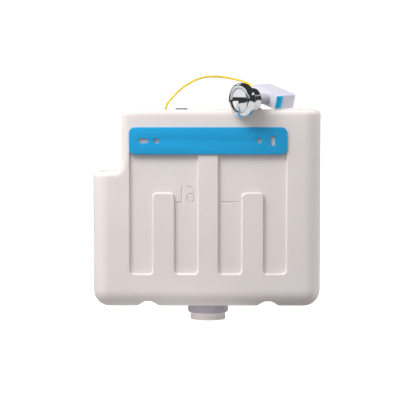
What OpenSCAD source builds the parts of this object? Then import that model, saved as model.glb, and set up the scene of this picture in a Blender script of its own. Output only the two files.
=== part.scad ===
// Slim concealed toilet cistern with a cable operated push button.
// X runs right and Z up on the wall side, and Y runs away from the wall.
// Heights are counted from the underside of the tank, and at_wall() moves the whole part so that the
// origin lies midway between the two wall screws, on the bracket's wall face.

/* [Tank] */
// Overall width of the moulded tank
tank_w = 380; // [370:1:420]
// Height of the moulded tank
tank_h = 329; // [300:1:360]
// Depth of the tank, wall side to room side
tank_d = 130; // [126:1:160]
// Wall thickness of the moulding
wall = 4; // [3:0.5:5]
// How far the outlet axis lies to the right of the tank's middle
outlet_shift = 2; // [0:0.5:6]
// Radius of the large rounded edges
edge_r = 28; // [20:1:32]
// Radius of the top edges
top_r = 9; // [6:0.5:10]
// Radius of the upright edges beside the notch
notch_edge_r = 12; // [11:0.5:16]
// Width of the notch at the upper left corner
notch_w = 48.4; // [40:0.2:54]
// Height of the notch
notch_h = 103.5; // [95:0.5:110]
// Radius of the notch's inner corner
notch_fillet = 17; // [8:1:20]
// Distance of each groove under the tank from the outlet axis
groove_x = 100; // [90:1:120]
// Width of a groove
groove_w = 37; // [30:1:44]
// Height of a groove
groove_h = 7.5; // [5:0.5:9]

/* [Wall side panel] */
// Width of the recessed panel
panel_w = 260; // [250:1:264]
// Height of the panel's lower edge above the underside
panel_z = 56; // [45:1:80]
// Depth of the recess
panel_depth = 5; // [3:0.5:7]
// Corner radius in the recess
panel_r = 8; // [4:0.5:8]
// Width of the two side ribs
rib_w = 36; // [28:1:40]
// Width of the middle rib
mid_rib_w = 34; // [28:1:40]
// Distance of the side ribs from the middle
rib_x = 74; // [68:1:80]
// Height of the side ribs' tops above the underside
rib_top = 191; // [150:1:215]

/* [Wall bracket] */
// Width of the bracket strip
bar_w = 262; // [250:1:270]
// Height of the strip
bar_h = 45; // [40:1:50]
// Thickness of the strip
bar_t = 3; // [2.5:0.5:5]
// Corner radius of the strip
bar_r = 10; // [4:0.5:14]
// Distance from the tank's top to the strip's top
bar_drop = 29; // [24:1:36]
// Distance between the two screw holes
screw_pitch = 170; // [160:1:176]
// Diameter of the screw holes
screw_hole_d = 8.2; // [6:0.1:9]
// Distance between the two slots
slot_pitch = 214; // [206:1:220]
// Length of a slot
slot_l = 16; // [12:0.5:18]
// Width of a slot
slot_w = 7; // [5:0.5:8]
// Depth of the hollow in the tank behind the screws
screw_hollow = 8; // [6:0.5:16]
// Width of the spigots that hold the strip on the tank
spigot_w = 20; // [14:1:26]
// Length of the spigots
spigot_l = 6; // [4:0.5:8]

/* [Lid] */
// Width of the lid
lid_w = 150; // [136:1:160]
// Depth of the lid
lid_d = 86; // [70:1:92]
// How far the lid's middle lies to the right of the outlet axis
lid_x = 18; // [14:1:24]
// Thickness of the lid
lid_t = 3.5; // [2.5:0.5:4.5]
// Thickness of the lid's gasket
gasket_t = 1.5; // [1:0.25:2.5]
// Width of the ledge under the lid
ledge = 7; // [6:0.5:7.5]
// Diameter of a turn lock's head
lock_d = 20; // [19:0.5:22]
// Height of a turn lock's head above the lid
lock_h = 2; // [1:0.25:3]
// Distance of a turn lock's axis from the lid's end
lock_inset = 12; // [12:0.5:14]

/* [Outlet and flush valve] */
// Outside diameter of the tail
tail_d = 59.6; // [56:0.2:62]
// Bore of the tail
tail_bore_d = 50; // [46:0.5:52]
// Length of the tail below the tank
tail_l = 26; // [22:1:40]
// Outside diameter of the back nut over its ribs
nut_d = 69; // [68:0.5:76]
// Height of the back nut
nut_h = 14; // [10:0.5:16]
// Number of ribs on the back nut
nut_ribs = 12; // [8:1:24]
// Outside diameter of the overflow tube
tube_d = 36; // [32:0.5:38]
// Distance from the tank's top to the overflow tube's top
tube_drop = 124; // [120:1:134]

/* [Inlet and fill valve] */
// Distance from the tank's top to the inlet
inlet_drop = 67; // [60:1:73]
// Diameter of the threaded inlet bore
inlet_d = 18.6; // [17:0.1:19]
// Length of the threaded inlet bore
inlet_l = 16; // [12:0.5:20]
// Outside diameter of the float cup
float_d = 44; // [36:1:46]
// Height of the float cup
float_h = 55; // [40:1:60]
// Distance from the tank's top to the float cup's underside when the tank is empty
float_drop = 179; // [175:1:195]

/* [Push button and actuator] */
// Diameter of the button's bezel
bezel_d = 57; // [52:0.5:62]
// Diameter of the barrel that passes the panel
barrel_d = 38; // [36:0.5:40]
// Distance from the bezel's widest edge to the end of the barrel
barrel_l = 24; // [22:1:28]
// Diameter of the neck
neck_d = 17; // [15:0.5:19]
// Distance from the bezel's widest edge to the actuator box
box_reach = 56; // [50:1:62]
// Length of the actuator box across the button axis
box_w = 65; // [62:1:75]
// Thickness of the actuator box
box_t = 23.5; // [23:0.5:28]
// Depth of the actuator box along the button axis
box_l = 44; // [43:1:52]
// Wall of the actuator box
box_wall = 2.2; // [1.8:0.1:2.4]

/* [Cable] */
// Outside diameter of the cable
cable_d = 3.5; // [3:0.1:3.9]
// Distance of the cable's entry from the lid's edge
gland_margin = 14; // [12:0.5:17]
// Bend radius of the cable inside the tank
cable_bend = 18; // [14:1:18]

/* [Clearances] */
// Gap between pieces that fit loosely
gap = 0.3; // [0.2:0.05:0.4]
// Radial gap of pins that turn
pin_gap = 0.06; // [0.02:0.01:0.1]

/* [Hidden] */

$fn = 48;
hull_fn = 24;
arc_steps = 5;
cut = 1;

// Tank places
x_left = -tank_w / 2 - outlet_shift;
x_right = tank_w / 2 - outlet_shift;
y_face = bar_t;
y_back = bar_t + tank_d;
y_mid = bar_t + tank_d / 2;
notch_x = x_left + notch_w;
shelf_z = tank_h - notch_h;
bar_z1 = tank_h - bar_drop;
bar_z0 = bar_z1 - bar_h;
screw_z = bar_z0 + bar_h / 2;
panel_overlap = 8;
panel_top = bar_z0 + panel_overlap;
groove_r = (groove_w * groove_w / 4 + groove_h * groove_h) / (2 * groove_h);
hollow_x0 = screw_pitch / 2 - screw_hole_d / 2 - 5;
hollow_x1 = slot_pitch / 2 + slot_l / 2 + 2.5;
hollow_h = 31;
hollow_r = 5;
spigot_x = 45;
spigot_h = 16;

// Heights inside the tank that follow its top
tube_top = tank_h - tube_drop;
inlet_z = tank_h - inlet_drop;
float_z = tank_h - float_drop;

// Lid places
lid_seat = tank_h - lid_t - gasket_t;
rim_t = 5;
rim_margin = 5;
lock_stem_r = 4;
lock_tongue = 9.5;
lock_tongue_w = 7;
lock_tongue_t = 4;
lock_x = [lid_x - lid_w / 2 + lock_inset, lid_x + lid_w / 2 - lock_inset];

// Cable gland
gland_flange_r = 7.7;
gland_flange_t = 1.5;
gland_shank_r = 5;
gland_lip_r = 6.5;
gland_lip_t = 2.5;

// Outlet and flush valve places
washer_t = 2.5;
thread_r = tail_d / 2 - 0.3;
outlet_flange_r = 39;
outlet_flange_t = 4.5;
flange_z = wall + washer_t;
flange_top = flange_z + outlet_flange_t;
seat_h = 4;
seat_top = flange_top + seat_h;
seat_w = 3;
seal_t = 3;
cage_r = 38;
cage_ring_t = 6;
cage_top = tube_top - 5;
cage_leg_t = 6;
tube_wall = 3;
float_collar_r = 26;
lever_x = -20;
lever_z = tube_top + 60;
lever_t = 8;
wire_arm = 24;
lift_arm = 20;
lever_end = 25;
lever_pin_r = 2;
lift_pin_r = 2;
nipple_r = 2.5;
cheek_y = 6;
cheek_t = 3;
wire_z = lever_z + wire_arm;
wire_r = 0.8;
stop_r = 3.5;
stop_x0 = lever_x - 32.5;
stop_x1 = lever_x - 18.5;
stop_bore_r = 1.2;
gland_x = min(stop_x0 - cable_bend, lid_x - lid_w / 2 - gland_margin);

// Inlet and fill valve places
inlet_flange_r = 18;
inlet_flange_t = 2.5;
inlet_shank_r = 13;
inlet_boss_r = 24;
inlet_boss_t = 4;
inlet_waterway_r = 4;
inlet_x1 = notch_x + wall + inlet_boss_t;
inlet_washer_t = 2;
inlet_nut_t = 8;
inlet_nut_r = 19;
shank_x1 = notch_x + 33.6;
valve_x0 = inlet_x1 + inlet_washer_t + inlet_nut_t + 1.6;
valve_x1 = shank_x1 + 10;
valve_r = 16;
cap_t = 8;
cap_x1 = valve_x1 + cap_t;
column_x = notch_x + 28.6;
column_r = 6.5;
column_z = 30;
socket_r = 9;
socket_drop = 28;
socket_z = inlet_z - socket_drop;
socket_depth = 12;
socket_lap = 8;
float_bore_r = 8;
float_wall = 1.5;
float_pivot_x = cap_x1 + 8;
float_pin_r = 2;
float_arm = 16;
float_arm_end = 20;
float_arm_h = 8;
float_lever_w = 9;
rod_x = float_pivot_x + float_arm;
rod_r = 2;
rod_pin_r = 1.5;

// Button and actuator places, on the button's own axis, which points out of the button
button_pos = [55, bar_t - 19, tank_h + 15.5];
button_turn = -48.5;
button_tilt = 93;
button_roll = -17;
bezel_h = 6.5;
bezel_back = 6.5;
bezel_floor = 2.9;
seat_r = barrel_d / 2 + 0.8;
ring_r = seat_r + 0.8;
head_r = seat_r - 0.4;
cap_r = barrel_d / 2 - 2.4;
barrel_wall = 2;
rod_head_r = 6;
rod_head_z = 6;
cap_depth = 3;
push_rod_r = 3;
clamp_lap = 4;
clamp_t = 3;
clamp_taper = 6;
neck_flange_t = 3;
box_left = 41;
box_x0 = -box_left;
box_x1 = box_w - box_left;
box_z1 = -box_reach;
box_z0 = -box_reach - box_l;
box_y1 = box_t / 2;
box_y0 = -box_t / 2;
cover_t = box_wall;
cover_y1 = box_y0 + cover_t;
rocker_x = -14;
rocker_depth = 29;
rocker_z = box_z1 - rocker_depth;
rocker_hub_r = 6;
rocker_arm_rise = 4;
rocker_wire_arm = 19;
rocker_pin_r = 2.5;
rocker_nipple_r = 2.2;
pull_y = 7;
pull_half = 2;
pull_z = rocker_z + rocker_wire_arm;
ferrule_r = 2.5;
ferrule_l = 13;
boss_r = 2.9;
screw_r = 1.1;
screw_head_r = 2.8;
screw_head_t = 1.4;
screw_l = 10;
screw_spots = [[box_x0 + 6, box_z1 - 4], [box_x0 + 6, box_z0 + 5], [box_x1 - 6, box_z0 + 5],
    [box_x1 - 12, box_z1 - 4]];
slide_z = box_z1 - 6;
slide_w = 14;
slide_h = 20.5;
slide_bulge = 2.7;

// Free run of the cable from the gland to the actuator box: x from the outlet axis, y from the tank's
// middle, z from the tank's top. Its first third leans over where the gland moves from its usual place.
usual_gland_x = -71;
lean_points = 8;
cable_points = [[-71, 0, -4], [-71, 0, 2.5], [-69.4, 0, 8], [-66, 0, 13.3], [-61.5, 0, 18.5], [-55, 1, 25.5],
    [-47.5, 2, 33], [-39, 3.2, 39.5], [-30, 4.8, 45], [-20.5, 6.5, 49.8], [-11, 8.5, 53.2],
    [-1.5, 10.5, 55], [8, 12, 55.6], [17.5, 13.3, 55.4], [27, 14, 54.5], [36.5, 13.5, 52.8], [45.5, 11.5, 51],
    [54, 8.5, 49], [61.5, 4.3, 46.5], [68, -1.3, 43.4], [74, -7.6, 39.9], [80.4, -14.7, 37]];
cable_route = [for (i = [0:len(cable_points) - 1])
    cable_points[i] + [(gland_x - usual_gland_x) * min(1, max(0, (lean_points - i) / (lean_points - 1))), 0, 0]];

function unit(v) = v / norm(v);

// Points of a path of right-angled corners, each corner turned into an arc
function corner_arc(a, b, c, r) =
    let (u = unit(a - b), v = unit(c - b), m = b + r * (u + v))
    [for (k = [0:arc_steps]) m - r * (v * cos(90 * k / arc_steps) + u * sin(90 * k / arc_steps))];
function rounded(p, r) =
    let (n = len(p))
    [for (i = [0:n - 1]) each corner_arc(p[(i + n - 1) % n], p[i], p[(i + 1) % n], r)];
function box_path(x0, z0, x1, z1) = [[x0, z0], [x1, z0], [x1, z1], [x0, z1]];

// Moves the part from the tank's own heights to the wall screws
module at_wall() {
    translate([0, 0, -screw_z]) children();
}

// Places a piece on the outlet's upright axis
module on_outlet() {
    at_wall() translate([0, y_mid, 0]) children();
}

// Places a piece on the button's axis
module at_button() {
    at_wall() translate(button_pos) rotate([0, 0, button_turn]) rotate([button_tilt, 0, 0])
        rotate([0, 0, button_roll]) children();
}

// Turns an upright piece to lie along X or along Y
module along_x() {
    rotate([0, 90, 0]) children();
}
module along_y() {
    rotate([-90, 0, 0]) children();
}

// Plate of an outline drawn in X and Z, from y0 to y1
module xz_plate(y0, y1) {
    translate([0, y1, 0]) rotate([90, 0, 0]) linear_extrude(y1 - y0) children();
}

// Block between two corners
module block(a, b) {
    translate(a) cube(b - a);
}

// Ring about Z between two radii and two heights
module ring(r0, r1, z0, z1) {
    difference() {
        translate([0, 0, z0]) cylinder(r = r1, h = z1 - z0);
        translate([0, 0, z0 - cut]) cylinder(r = r0, h = z1 - z0 + 2 * cut);
    }
}

module ball(r) {
    rotate_extrude($fn = hull_fn) intersection() {
        circle(r = r, $fn = hull_fn);
        translate([0, -r]) square([r, 2 * r]);
    }
}

// Two stacked forms of the tank, the lower one at full width, each taken in by an inset
module tank_form(inset) {
    step_z = shelf_z - inset;
    hull() for (x = [x_left + edge_r, x_right - edge_r], y = [y_face + edge_r, y_back - edge_r]) {
        translate([x, y, edge_r]) ball(edge_r - inset);
        translate([x, y, step_z - cut]) cylinder(r = edge_r - inset, h = cut, $fn = hull_fn);
    }
    hull() for (y = [-1, 1]) {
        upper_corner(notch_x + notch_edge_r, y, notch_edge_r, inset, step_z);
        upper_corner(x_right - edge_r, y, edge_r, inset, step_z);
    }
}

// Upright corner of the upper form, with the top edge rounded, or cut off on the inside
module upper_corner(x, side, r, inset, z0) {
    steps = inset > 0 ? 1 : arc_steps;
    top_arc = [for (k = [0:steps]) let (a = 90 * k / steps)
        [r - top_r + (top_r - inset) * cos(a), (top_r - inset) * sin(a)]];
    translate([x, y_mid + side * (tank_d / 2 - r), 0]) {
        translate([0, 0, z0]) cylinder(r = r - inset, h = cut, $fn = hull_fn);
        translate([0, 0, tank_h - top_r]) rotate_extrude($fn = hull_fn)
            polygon(concat([[r - top_r, 0]], top_arc));
    }
}

// Rounded inner corner where the notch's wall meets its shelf
module notch_corner() {
    c = [notch_x - notch_fillet, shelf_z + notch_fillet];
    arc = [for (k = [0:arc_steps]) c + notch_fillet * [sin(90 * k / arc_steps), -cos(90 * k / arc_steps)]];
    xz_plate(y_face + notch_edge_r, y_back - notch_edge_r)
        polygon(concat([[notch_x + cut, shelf_z - cut], [notch_x - notch_fillet, shelf_z - cut]], arc,
            [[notch_x + cut, shelf_z + notch_fillet]]));
}

// One half of the panel's recess, with its two channels beside the side rib
module panel_recess(side) {
    x0 = mid_rib_w / 2;
    x1 = rib_x - rib_w / 2;
    x2 = rib_x + rib_w / 2;
    x3 = panel_w / 2;
    path = [[x0, panel_z], [x1, panel_z], [x1, rib_top], [x2, rib_top], [x2, panel_z], [x3, panel_z],
        [x3, panel_top], [x0, panel_top]];
    xz_plate(y_face - cut, y_face + panel_depth)
        polygon([for (p = rounded(path, panel_r)) [p[0] * side, p[1]]]);
}

// Hollow behind one end of the bracket that keeps the screws clear
module screw_hollow_at(side) {
    corners = box_path(hollow_x0, screw_z - hollow_h / 2, hollow_x1, screw_z + hollow_h / 2);
    path = rounded(corners, hollow_r);
    xz_plate(y_face - cut, y_face + screw_hollow) polygon([for (p = path) [p[0] * side, p[1]]]);
}

// Places on both sides of the outlet axis where the bracket's spigots go
module spigots(grow) {
    for (s = [-1, 1])
        block([s * spigot_x - spigot_w / 2 - grow, bar_t - cut, screw_z - spigot_h / 2 - grow],
            [s * spigot_x + spigot_w / 2 + grow, bar_t + spigot_l + grow, screw_z + spigot_h / 2 + grow]);
}

// Thickenings inside the tank that back its recesses and carry its fittings
module tank_backing() {
    block([-panel_w / 2 - wall, 0, panel_z - wall],
        [panel_w / 2 + wall, y_face + panel_depth + wall, bar_z1]);
    block([-hollow_x1 - wall, 0, screw_z - hollow_h / 2 - wall],
        [hollow_x1 + wall, y_face + screw_hollow + wall, screw_z + hollow_h / 2 + wall]);
    for (s = [-1, 1])
        translate([s * groove_x, 0, groove_h - groove_r]) along_y()
            cylinder(r = groove_r + wall, h = y_back);
    block([lid_x - lid_w / 2 - rim_margin, y_mid - lid_d / 2 - rim_margin, lid_seat - rim_t],
        [lid_x + lid_w / 2 + rim_margin, y_mid + lid_d / 2 + rim_margin, tank_h]);
    translate([notch_x, y_mid, inlet_z]) along_x() cylinder(r = inlet_boss_r, h = wall + inlet_boss_t);
}

// Blow-moulded polyethylene tank
module tank() {
    color("#dfdbd8") at_wall() difference() {
        union() {
            tank_form(0);
            notch_corner();
        }
        difference() {
            tank_form(wall);
            tank_backing();
        }
        for (s = [-1, 1]) {
            panel_recess(s);
            screw_hollow_at(s);
            translate([s * groove_x, 0, groove_h - groove_r]) along_y()
                cylinder(r = groove_r, h = y_back + cut);
        }
        spigots(gap);
        translate([0, y_mid, -cut]) cylinder(r = tail_d / 2 + 2 * gap, h = 2 * wall);
        translate([notch_x - cut, y_mid, inlet_z]) along_x() {
            cylinder(r = inlet_flange_r + gap, h = inlet_flange_t + cut);
            cylinder(r = inlet_shank_r + gap, h = 4 * wall);
        }
        translate([gland_x, y_mid, tank_h]) {
            translate([0, 0, -gland_flange_t]) cylinder(r = gland_flange_r + gap, h = 2 * gland_flange_t);
            translate([0, 0, -2 * wall]) cylinder(r = gland_shank_r + gap, h = 3 * wall);
        }
        block([lid_x - lid_w / 2, y_mid - lid_d / 2, lid_seat],
            [lid_x + lid_w / 2, y_mid + lid_d / 2, tank_h + cut]);
        block([lid_x - lid_w / 2 + ledge, y_mid - lid_d / 2 + ledge, lid_seat - rim_t - cut],
            [lid_x + lid_w / 2 - ledge, y_mid + lid_d / 2 - ledge, tank_h]);
    }
}

// Flat lid let flush into the top, with a keyhole for each turn lock
module tank_lid() {
    color("#e4e0dd") at_wall() difference() {
        block([lid_x - lid_w / 2 + gap, y_mid - lid_d / 2 + gap, tank_h - lid_t],
            [lid_x + lid_w / 2 - gap, y_mid + lid_d / 2 - gap, tank_h]);
        for (x = lock_x) translate([x, y_mid, tank_h - lid_t - cut]) {
            cylinder(r = lock_stem_r + gap, h = lid_t + 2 * cut);
            translate([-lock_tongue_w / 2 - gap, 0, 0])
                cube([lock_tongue_w + 2 * gap, lock_tongue + gap, lid_t + 2 * cut]);
        }
    }
}

// Flat rubber frame between the lid and its ledge
module lid_gasket() {
    color("#3b3b3d") at_wall() difference() {
        block([lid_x - lid_w / 2 + gap, y_mid - lid_d / 2 + gap, lid_seat],
            [lid_x + lid_w / 2 - gap, y_mid + lid_d / 2 - gap, lid_seat + gasket_t]);
        block([lid_x - lid_w / 2 + ledge, y_mid - lid_d / 2 + ledge, lid_seat - cut],
            [lid_x + lid_w / 2 - ledge, y_mid + lid_d / 2 - ledge, tank_h]);
    }
}

// Quarter-turn lock: slotted head, stem through the lid and a tongue under the tank's rim
module turn_lock(x, side) {
    slot = [12, 2, 1];
    tongue_z = lid_seat - rim_t - gap - lock_tongue_t;
    translate([x, y_mid, 0]) difference() {
        union() {
            translate([0, 0, tank_h]) cylinder(d = lock_d, h = lock_h);
            translate([0, 0, tongue_z]) cylinder(r = lock_stem_r, h = tank_h - tongue_z + cut);
            translate([min(0, side * lock_tongue), -lock_tongue_w / 2, tongue_z])
                cube([lock_tongue, lock_tongue_w, lock_tongue_t]);
        }
        translate([-slot[0] / 2, -slot[1] / 2, tank_h + lock_h - slot[2]]) cube(slot);
    }
}
module lid_lock_left() {
    color("#55565a") at_wall() turn_lock(lock_x[0], -1);
}
module lid_lock_right() {
    color("#2e2f33") at_wall() turn_lock(lock_x[1], 1);
}

// Rubber grommet, flush with the top, that the cable enters through
module cable_gland() {
    color("#404145") at_wall() translate([gland_x, y_mid, tank_h]) difference() {
        union() {
            translate([0, 0, -gland_flange_t]) cylinder(r = gland_flange_r, h = gland_flange_t);
            translate([0, 0, -wall - gland_lip_t]) cylinder(r = gland_shank_r, h = wall + gland_lip_t);
            translate([0, 0, -wall - gland_lip_t]) cylinder(r = gland_lip_r, h = gland_lip_t - gap);
        }
        translate([0, 0, -2 * wall]) cylinder(r = cable_d / 2 + gap, h = 3 * wall);
    }
}

// Blue strip that hangs the tank on two wall screws
module wall_bracket() {
    color("#229ace") at_wall() difference() {
        union() {
            xz_plate(0, bar_t) polygon(rounded(box_path(-bar_w / 2, bar_z0, bar_w / 2, bar_z1), bar_r));
            spigots(0);
        }
        for (s = [-1, 1])
            translate([s * screw_pitch / 2, -cut, screw_z]) along_y()
                cylinder(d = screw_hole_d, h = bar_t + 2 * cut);
        translate([-slot_pitch / 2, 0, screw_z]) slot_cut(slot_l, slot_w);
        translate([slot_pitch / 2, 0, screw_z]) slot_cut(slot_w, slot_l);
    }
}
module slot_cut(w, h) {
    slot_r = 1.5;
    xz_plate(-cut, bar_t + cut) polygon(rounded(box_path(-w / 2, -h / 2, w / 2, h / 2), slot_r));
}

// Flanged outlet with its valve seat inside and its tail below the tank
module outlet_body() {
    bore_r = tail_bore_d / 2;
    color("#c3b9b7") on_outlet() difference() {
        union() {
            translate([0, 0, -tail_l]) cylinder(d = tail_d, h = tail_l - nut_h - gap);
            translate([0, 0, -tail_l + cut]) cylinder(r = thread_r, h = tail_l + flange_z);
            translate([0, 0, flange_z]) cylinder(r = outlet_flange_r, h = outlet_flange_t);
            translate([0, 0, flange_z]) cylinder(r = bore_r + seat_w, h = outlet_flange_t + seat_h);
        }
        translate([0, 0, -tail_l - cut]) cylinder(r = bore_r, h = tail_l + seat_top + 2 * cut);
    }
}

// Rubber washer between the outlet's flange and the tank's floor
module outlet_washer() {
    color("#3b3b3d") on_outlet() ring(tail_d / 2 + gap, outlet_flange_r - 1, wall, wall + washer_t);
}

// Ribbed nut that draws the outlet down on its washer
module outlet_back_nut() {
    rib_out = 1;
    rib_t = 3;
    first_rib = 21;
    color("#a49ca7") on_outlet() difference() {
        union() {
            translate([0, 0, -nut_h]) cylinder(r = nut_d / 2 - rib_out, h = nut_h);
            for (i = [0:nut_ribs - 1]) rotate([0, 0, -90 + first_rib + i * 360 / nut_ribs])
                block([nut_d / 2 - 3, -rib_t / 2, -nut_h], [nut_d / 2, rib_t / 2, -1]);
        }
        translate([0, 0, -nut_h - cut]) cylinder(r = tail_d / 2 + gap, h = nut_h + 2 * cut);
    }
}

// Cage on the outlet: three legs, a guide ring for the tube, and cheeks for the lever and the cable stop
module valve_cage() {
    block_x0 = stop_x0 + 1.5;
    block_x1 = stop_x1 - 1.5;
    side = [[-32, cage_top + 3], [lever_x + 0.5, cage_top + 3], [lever_x + 0.5, lever_z - 25],
        [lever_x + 7, lever_z - 9], [lever_x + 7, lever_z + 8], [lever_x - 7, lever_z + 8],
        [block_x1 + 2, wire_z - 6], [block_x1, wire_z + 6], [block_x0, wire_z + 6], [block_x0, wire_z - 6],
        [lever_x - 16, lever_z - 3], [-32, lever_z - 25]];
    color("#e8e8ea") on_outlet() {
        ring(tail_bore_d / 2 + seat_w + 2, cage_r, flange_top, flange_top + seat_h);
        for (a = [90, 210, 330]) rotate([0, 0, a])
            block([cage_r - cage_leg_t, -4, flange_top + cut], [cage_r - 0.5, 4, cage_top + cut]);
        ring(tube_d / 2 + 2 * gap, cage_r, cage_top, cage_top + cage_ring_t);
        difference() {
            union() {
                for (y = [-cheek_y - cheek_t, cheek_y]) xz_plate(y, y + cheek_t) polygon(side);
                block([block_x0, -cheek_y - cut, wire_z - 6], [block_x1, cheek_y + cut, wire_z + 6]);
            }
            translate([block_x0 - cut, 0, wire_z]) along_x()
                cylinder(r = stop_r + gap / 2, h = block_x1 - block_x0 + 4);
            translate([lever_x, -20, lever_z]) along_y() cylinder(r = lever_pin_r + pin_gap, h = 40);
        }
    }
}

// Overflow tube that is also the flush piston, with a yoke and a cross pin at its top
module overflow_piston() {
    foot_z = seat_top + seal_t;
    foot_t = 4;
    strut_y0 = 7;
    strut_y1 = 10;
    yoke_top = lever_z + 4;
    color("#d8dadf") on_outlet() {
        ring(tube_d / 2 - tube_wall, tube_d / 2, foot_z, tube_top);
        ring(tube_d / 2 - tube_wall, tail_bore_d / 2 + seat_w, foot_z, foot_z + foot_t);
        block([-3, -tube_d / 2 + 1, tube_top - 6], [3, tube_d / 2 - 1, tube_top]);
        for (s = [-1, 1])
            block([-4, min(s * strut_y0, s * strut_y1), tube_top - 6],
                [4, max(s * strut_y0, s * strut_y1), yoke_top]);
        translate([0, -strut_y1 + 1, lever_z]) along_y() cylinder(r = lift_pin_r, h = 2 * strut_y1 - 2);
    }
}

// Air bell on the tube that keeps the piston up while the tank empties
module piston_float() {
    bell_z = 70;
    bell_h = 45;
    color("#bfc6cf") on_outlet() difference() {
        translate([0, 0, bell_z]) cylinder(r = float_collar_r, h = bell_h);
        translate([0, 0, bell_z - cut]) cylinder(r = float_collar_r - 2, h = bell_h - 1);
        translate([0, 0, bell_z]) cylinder(r = tube_d / 2 + gap, h = bell_h + cut);
    }
}

// Rubber ring under the piston that closes on the seat
module flush_seal() {
    color("#343437") on_outlet()
        ring(tube_d / 2 - tube_wall, tail_bore_d / 2 + seat_w, seat_top, seat_top + seal_t);
}

// Bell crank: the wire pulls its upper arm and its other arm lifts the piston
module lift_lever() {
    upper_w = 2 * (nipple_r + 2.9);
    upper_end = wire_arm + 5.5;
    notch = nipple_r + 0.9;
    fork = lift_pin_r + 0.7;
    color("#cfd3da") on_outlet() translate([lever_x, 0, lever_z]) difference() {
        union() {
            translate([0, -lever_t / 2, 0]) along_y() cylinder(r = 7, h = lever_t);
            block([-upper_w / 2, -lever_t / 2, 0], [upper_w / 2, lever_t / 2, upper_end]);
            block([0, -lever_t / 2, -5], [lever_end, lever_t / 2, 5]);
        }
        translate([0, -lever_t, 0]) along_y() cylinder(r = lever_pin_r + pin_gap, h = 2 * lever_t);
        block([-notch, -lever_t, wire_arm - notch], [notch, lever_t, upper_end + cut]);
        block([-upper_w, -1.6, wire_arm - notch], [upper_w, 1.6, upper_end + cut]);
        block([lift_arm - fork, -lever_t, -fork], [lever_end + cut, lever_t, fork]);
    }
}
module lever_pin() {
    color("#b9bcc2") on_outlet() translate([lever_x, -cheek_y - cheek_t, lever_z]) along_y()
        cylinder(r = lever_pin_r, h = 2 * (cheek_y + cheek_t));
}

// Ferrule that ends the cable's sleeve and lets its wire run on
module cable_stop() {
    color("#c9ccd1") on_outlet() translate([stop_x0, 0, wire_z]) along_x() difference() {
        union() {
            cylinder(r = stop_r, h = stop_x1 - stop_x0);
            cylinder(r = stop_r + 1.5, h = 1.5);
        }
        translate([0, 0, -cut]) cylinder(r = stop_bore_r, h = stop_x1 - stop_x0 + 2 * cut);
    }
}

// Lower end of the pull wire, with the barrel nipple swaged on it
module pull_wire() {
    color("#9da1a8") on_outlet() translate([0, 0, wire_z]) {
        translate([stop_x1 - 0.7, 0, 0]) along_x() cylinder(r = wire_r, h = lever_x - stop_x1 + 0.7);
        translate([lever_x, -lever_t / 2, 0]) along_y() cylinder(r = nipple_r, h = lever_t);
    }
}

// Cable inside the tank, down from the gland and round to its stop
module cable_inner_run() {
    bend_x = gland_x + cable_bend;
    bend_z = wire_z + cable_bend;
    color("#e0c22e") on_outlet() {
        translate([gland_x, 0, bend_z]) cylinder(d = cable_d, h = tank_h - wall - bend_z);
        translate([bend_x, 0, bend_z]) along_y() rotate([0, 0, 90])
            rotate_extrude(angle = 90) translate([cable_bend, 0]) circle(d = cable_d);
        translate([bend_x, 0, wire_z]) along_x() cylinder(d = cable_d, h = stop_x0 - bend_x);
    }
}

// Threaded inlet let flush into the notch's wall
module inlet_bush() {
    color("#e2e2e4") at_wall() translate([notch_x, y_mid, inlet_z]) along_x() difference() {
        union() {
            cylinder(r = inlet_flange_r, h = inlet_flange_t);
            cylinder(r = inlet_shank_r, h = shank_x1 - notch_x);
        }
        translate([0, 0, -cut]) cylinder(d = inlet_d, h = inlet_l + cut);
        cylinder(r = inlet_waterway_r, h = shank_x1 - notch_x + cut);
    }
}
module inlet_washer() {
    color("#3b3b3d") at_wall() translate([inlet_x1, y_mid, inlet_z]) along_x()
        ring(inlet_shank_r + gap, inlet_nut_r, 0, inlet_washer_t);
}
module inlet_nut() {
    x0 = inlet_x1 + inlet_washer_t;
    color("#e2e2e4") at_wall() translate([x0, y_mid, inlet_z]) along_x() difference() {
        cylinder(r = inlet_nut_r, h = inlet_nut_t, $fn = 6);
        translate([0, 0, -cut]) cylinder(r = inlet_shank_r + gap, h = inlet_nut_t + 2 * cut);
    }
}

// Valve body on the inlet's shank, with the socket of the silencer tube below
module fill_valve_body() {
    color("#f0f0f0") at_wall() translate([0, y_mid, inlet_z]) difference() {
        union() {
            translate([valve_x0, 0, 0]) along_x() cylinder(r = valve_r, h = valve_x1 - valve_x0);
            translate([column_x, 0, -socket_drop]) cylinder(r = socket_r, h = socket_drop - socket_lap);
        }
        translate([valve_x0 - cut, 0, 0]) along_x()
            cylinder(r = inlet_shank_r + gap, h = shank_x1 - valve_x0 + cut);
        translate([shank_x1 - cut, 0, 0]) along_x()
            cylinder(r = inlet_waterway_r, h = valve_x1 - shank_x1 + 2 * cut);
        translate([column_x, 0, -socket_drop - cut]) {
            cylinder(r = column_r + gap, h = socket_depth + cut);
            cylinder(r = inlet_waterway_r, h = socket_drop - socket_lap);
        }
    }
}

// Screw cap over the valve's end, with two ears for the float lever
module fill_valve_cap() {
    ear_y0 = float_lever_w / 2 + gap;
    ear_y1 = ear_y0 + 3;
    color("#7fb2d6") at_wall() translate([valve_x1, y_mid, inlet_z]) difference() {
        union() {
            along_x() cylinder(r = valve_r, h = cap_t);
            for (s = [-1, 1])
                block([cap_t - cut, min(s * ear_y0, s * ear_y1), -6],
                    [float_pivot_x - valve_x1 + 4, max(s * ear_y0, s * ear_y1), 6]);
        }
        translate([-cut, 0, 0]) along_x() cylinder(r = 2, h = cap_t + 2 * cut);
        translate([float_pivot_x - valve_x1, -20, 0]) along_y() cylinder(r = float_pin_r + pin_gap, h = 40);
    }
}

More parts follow.
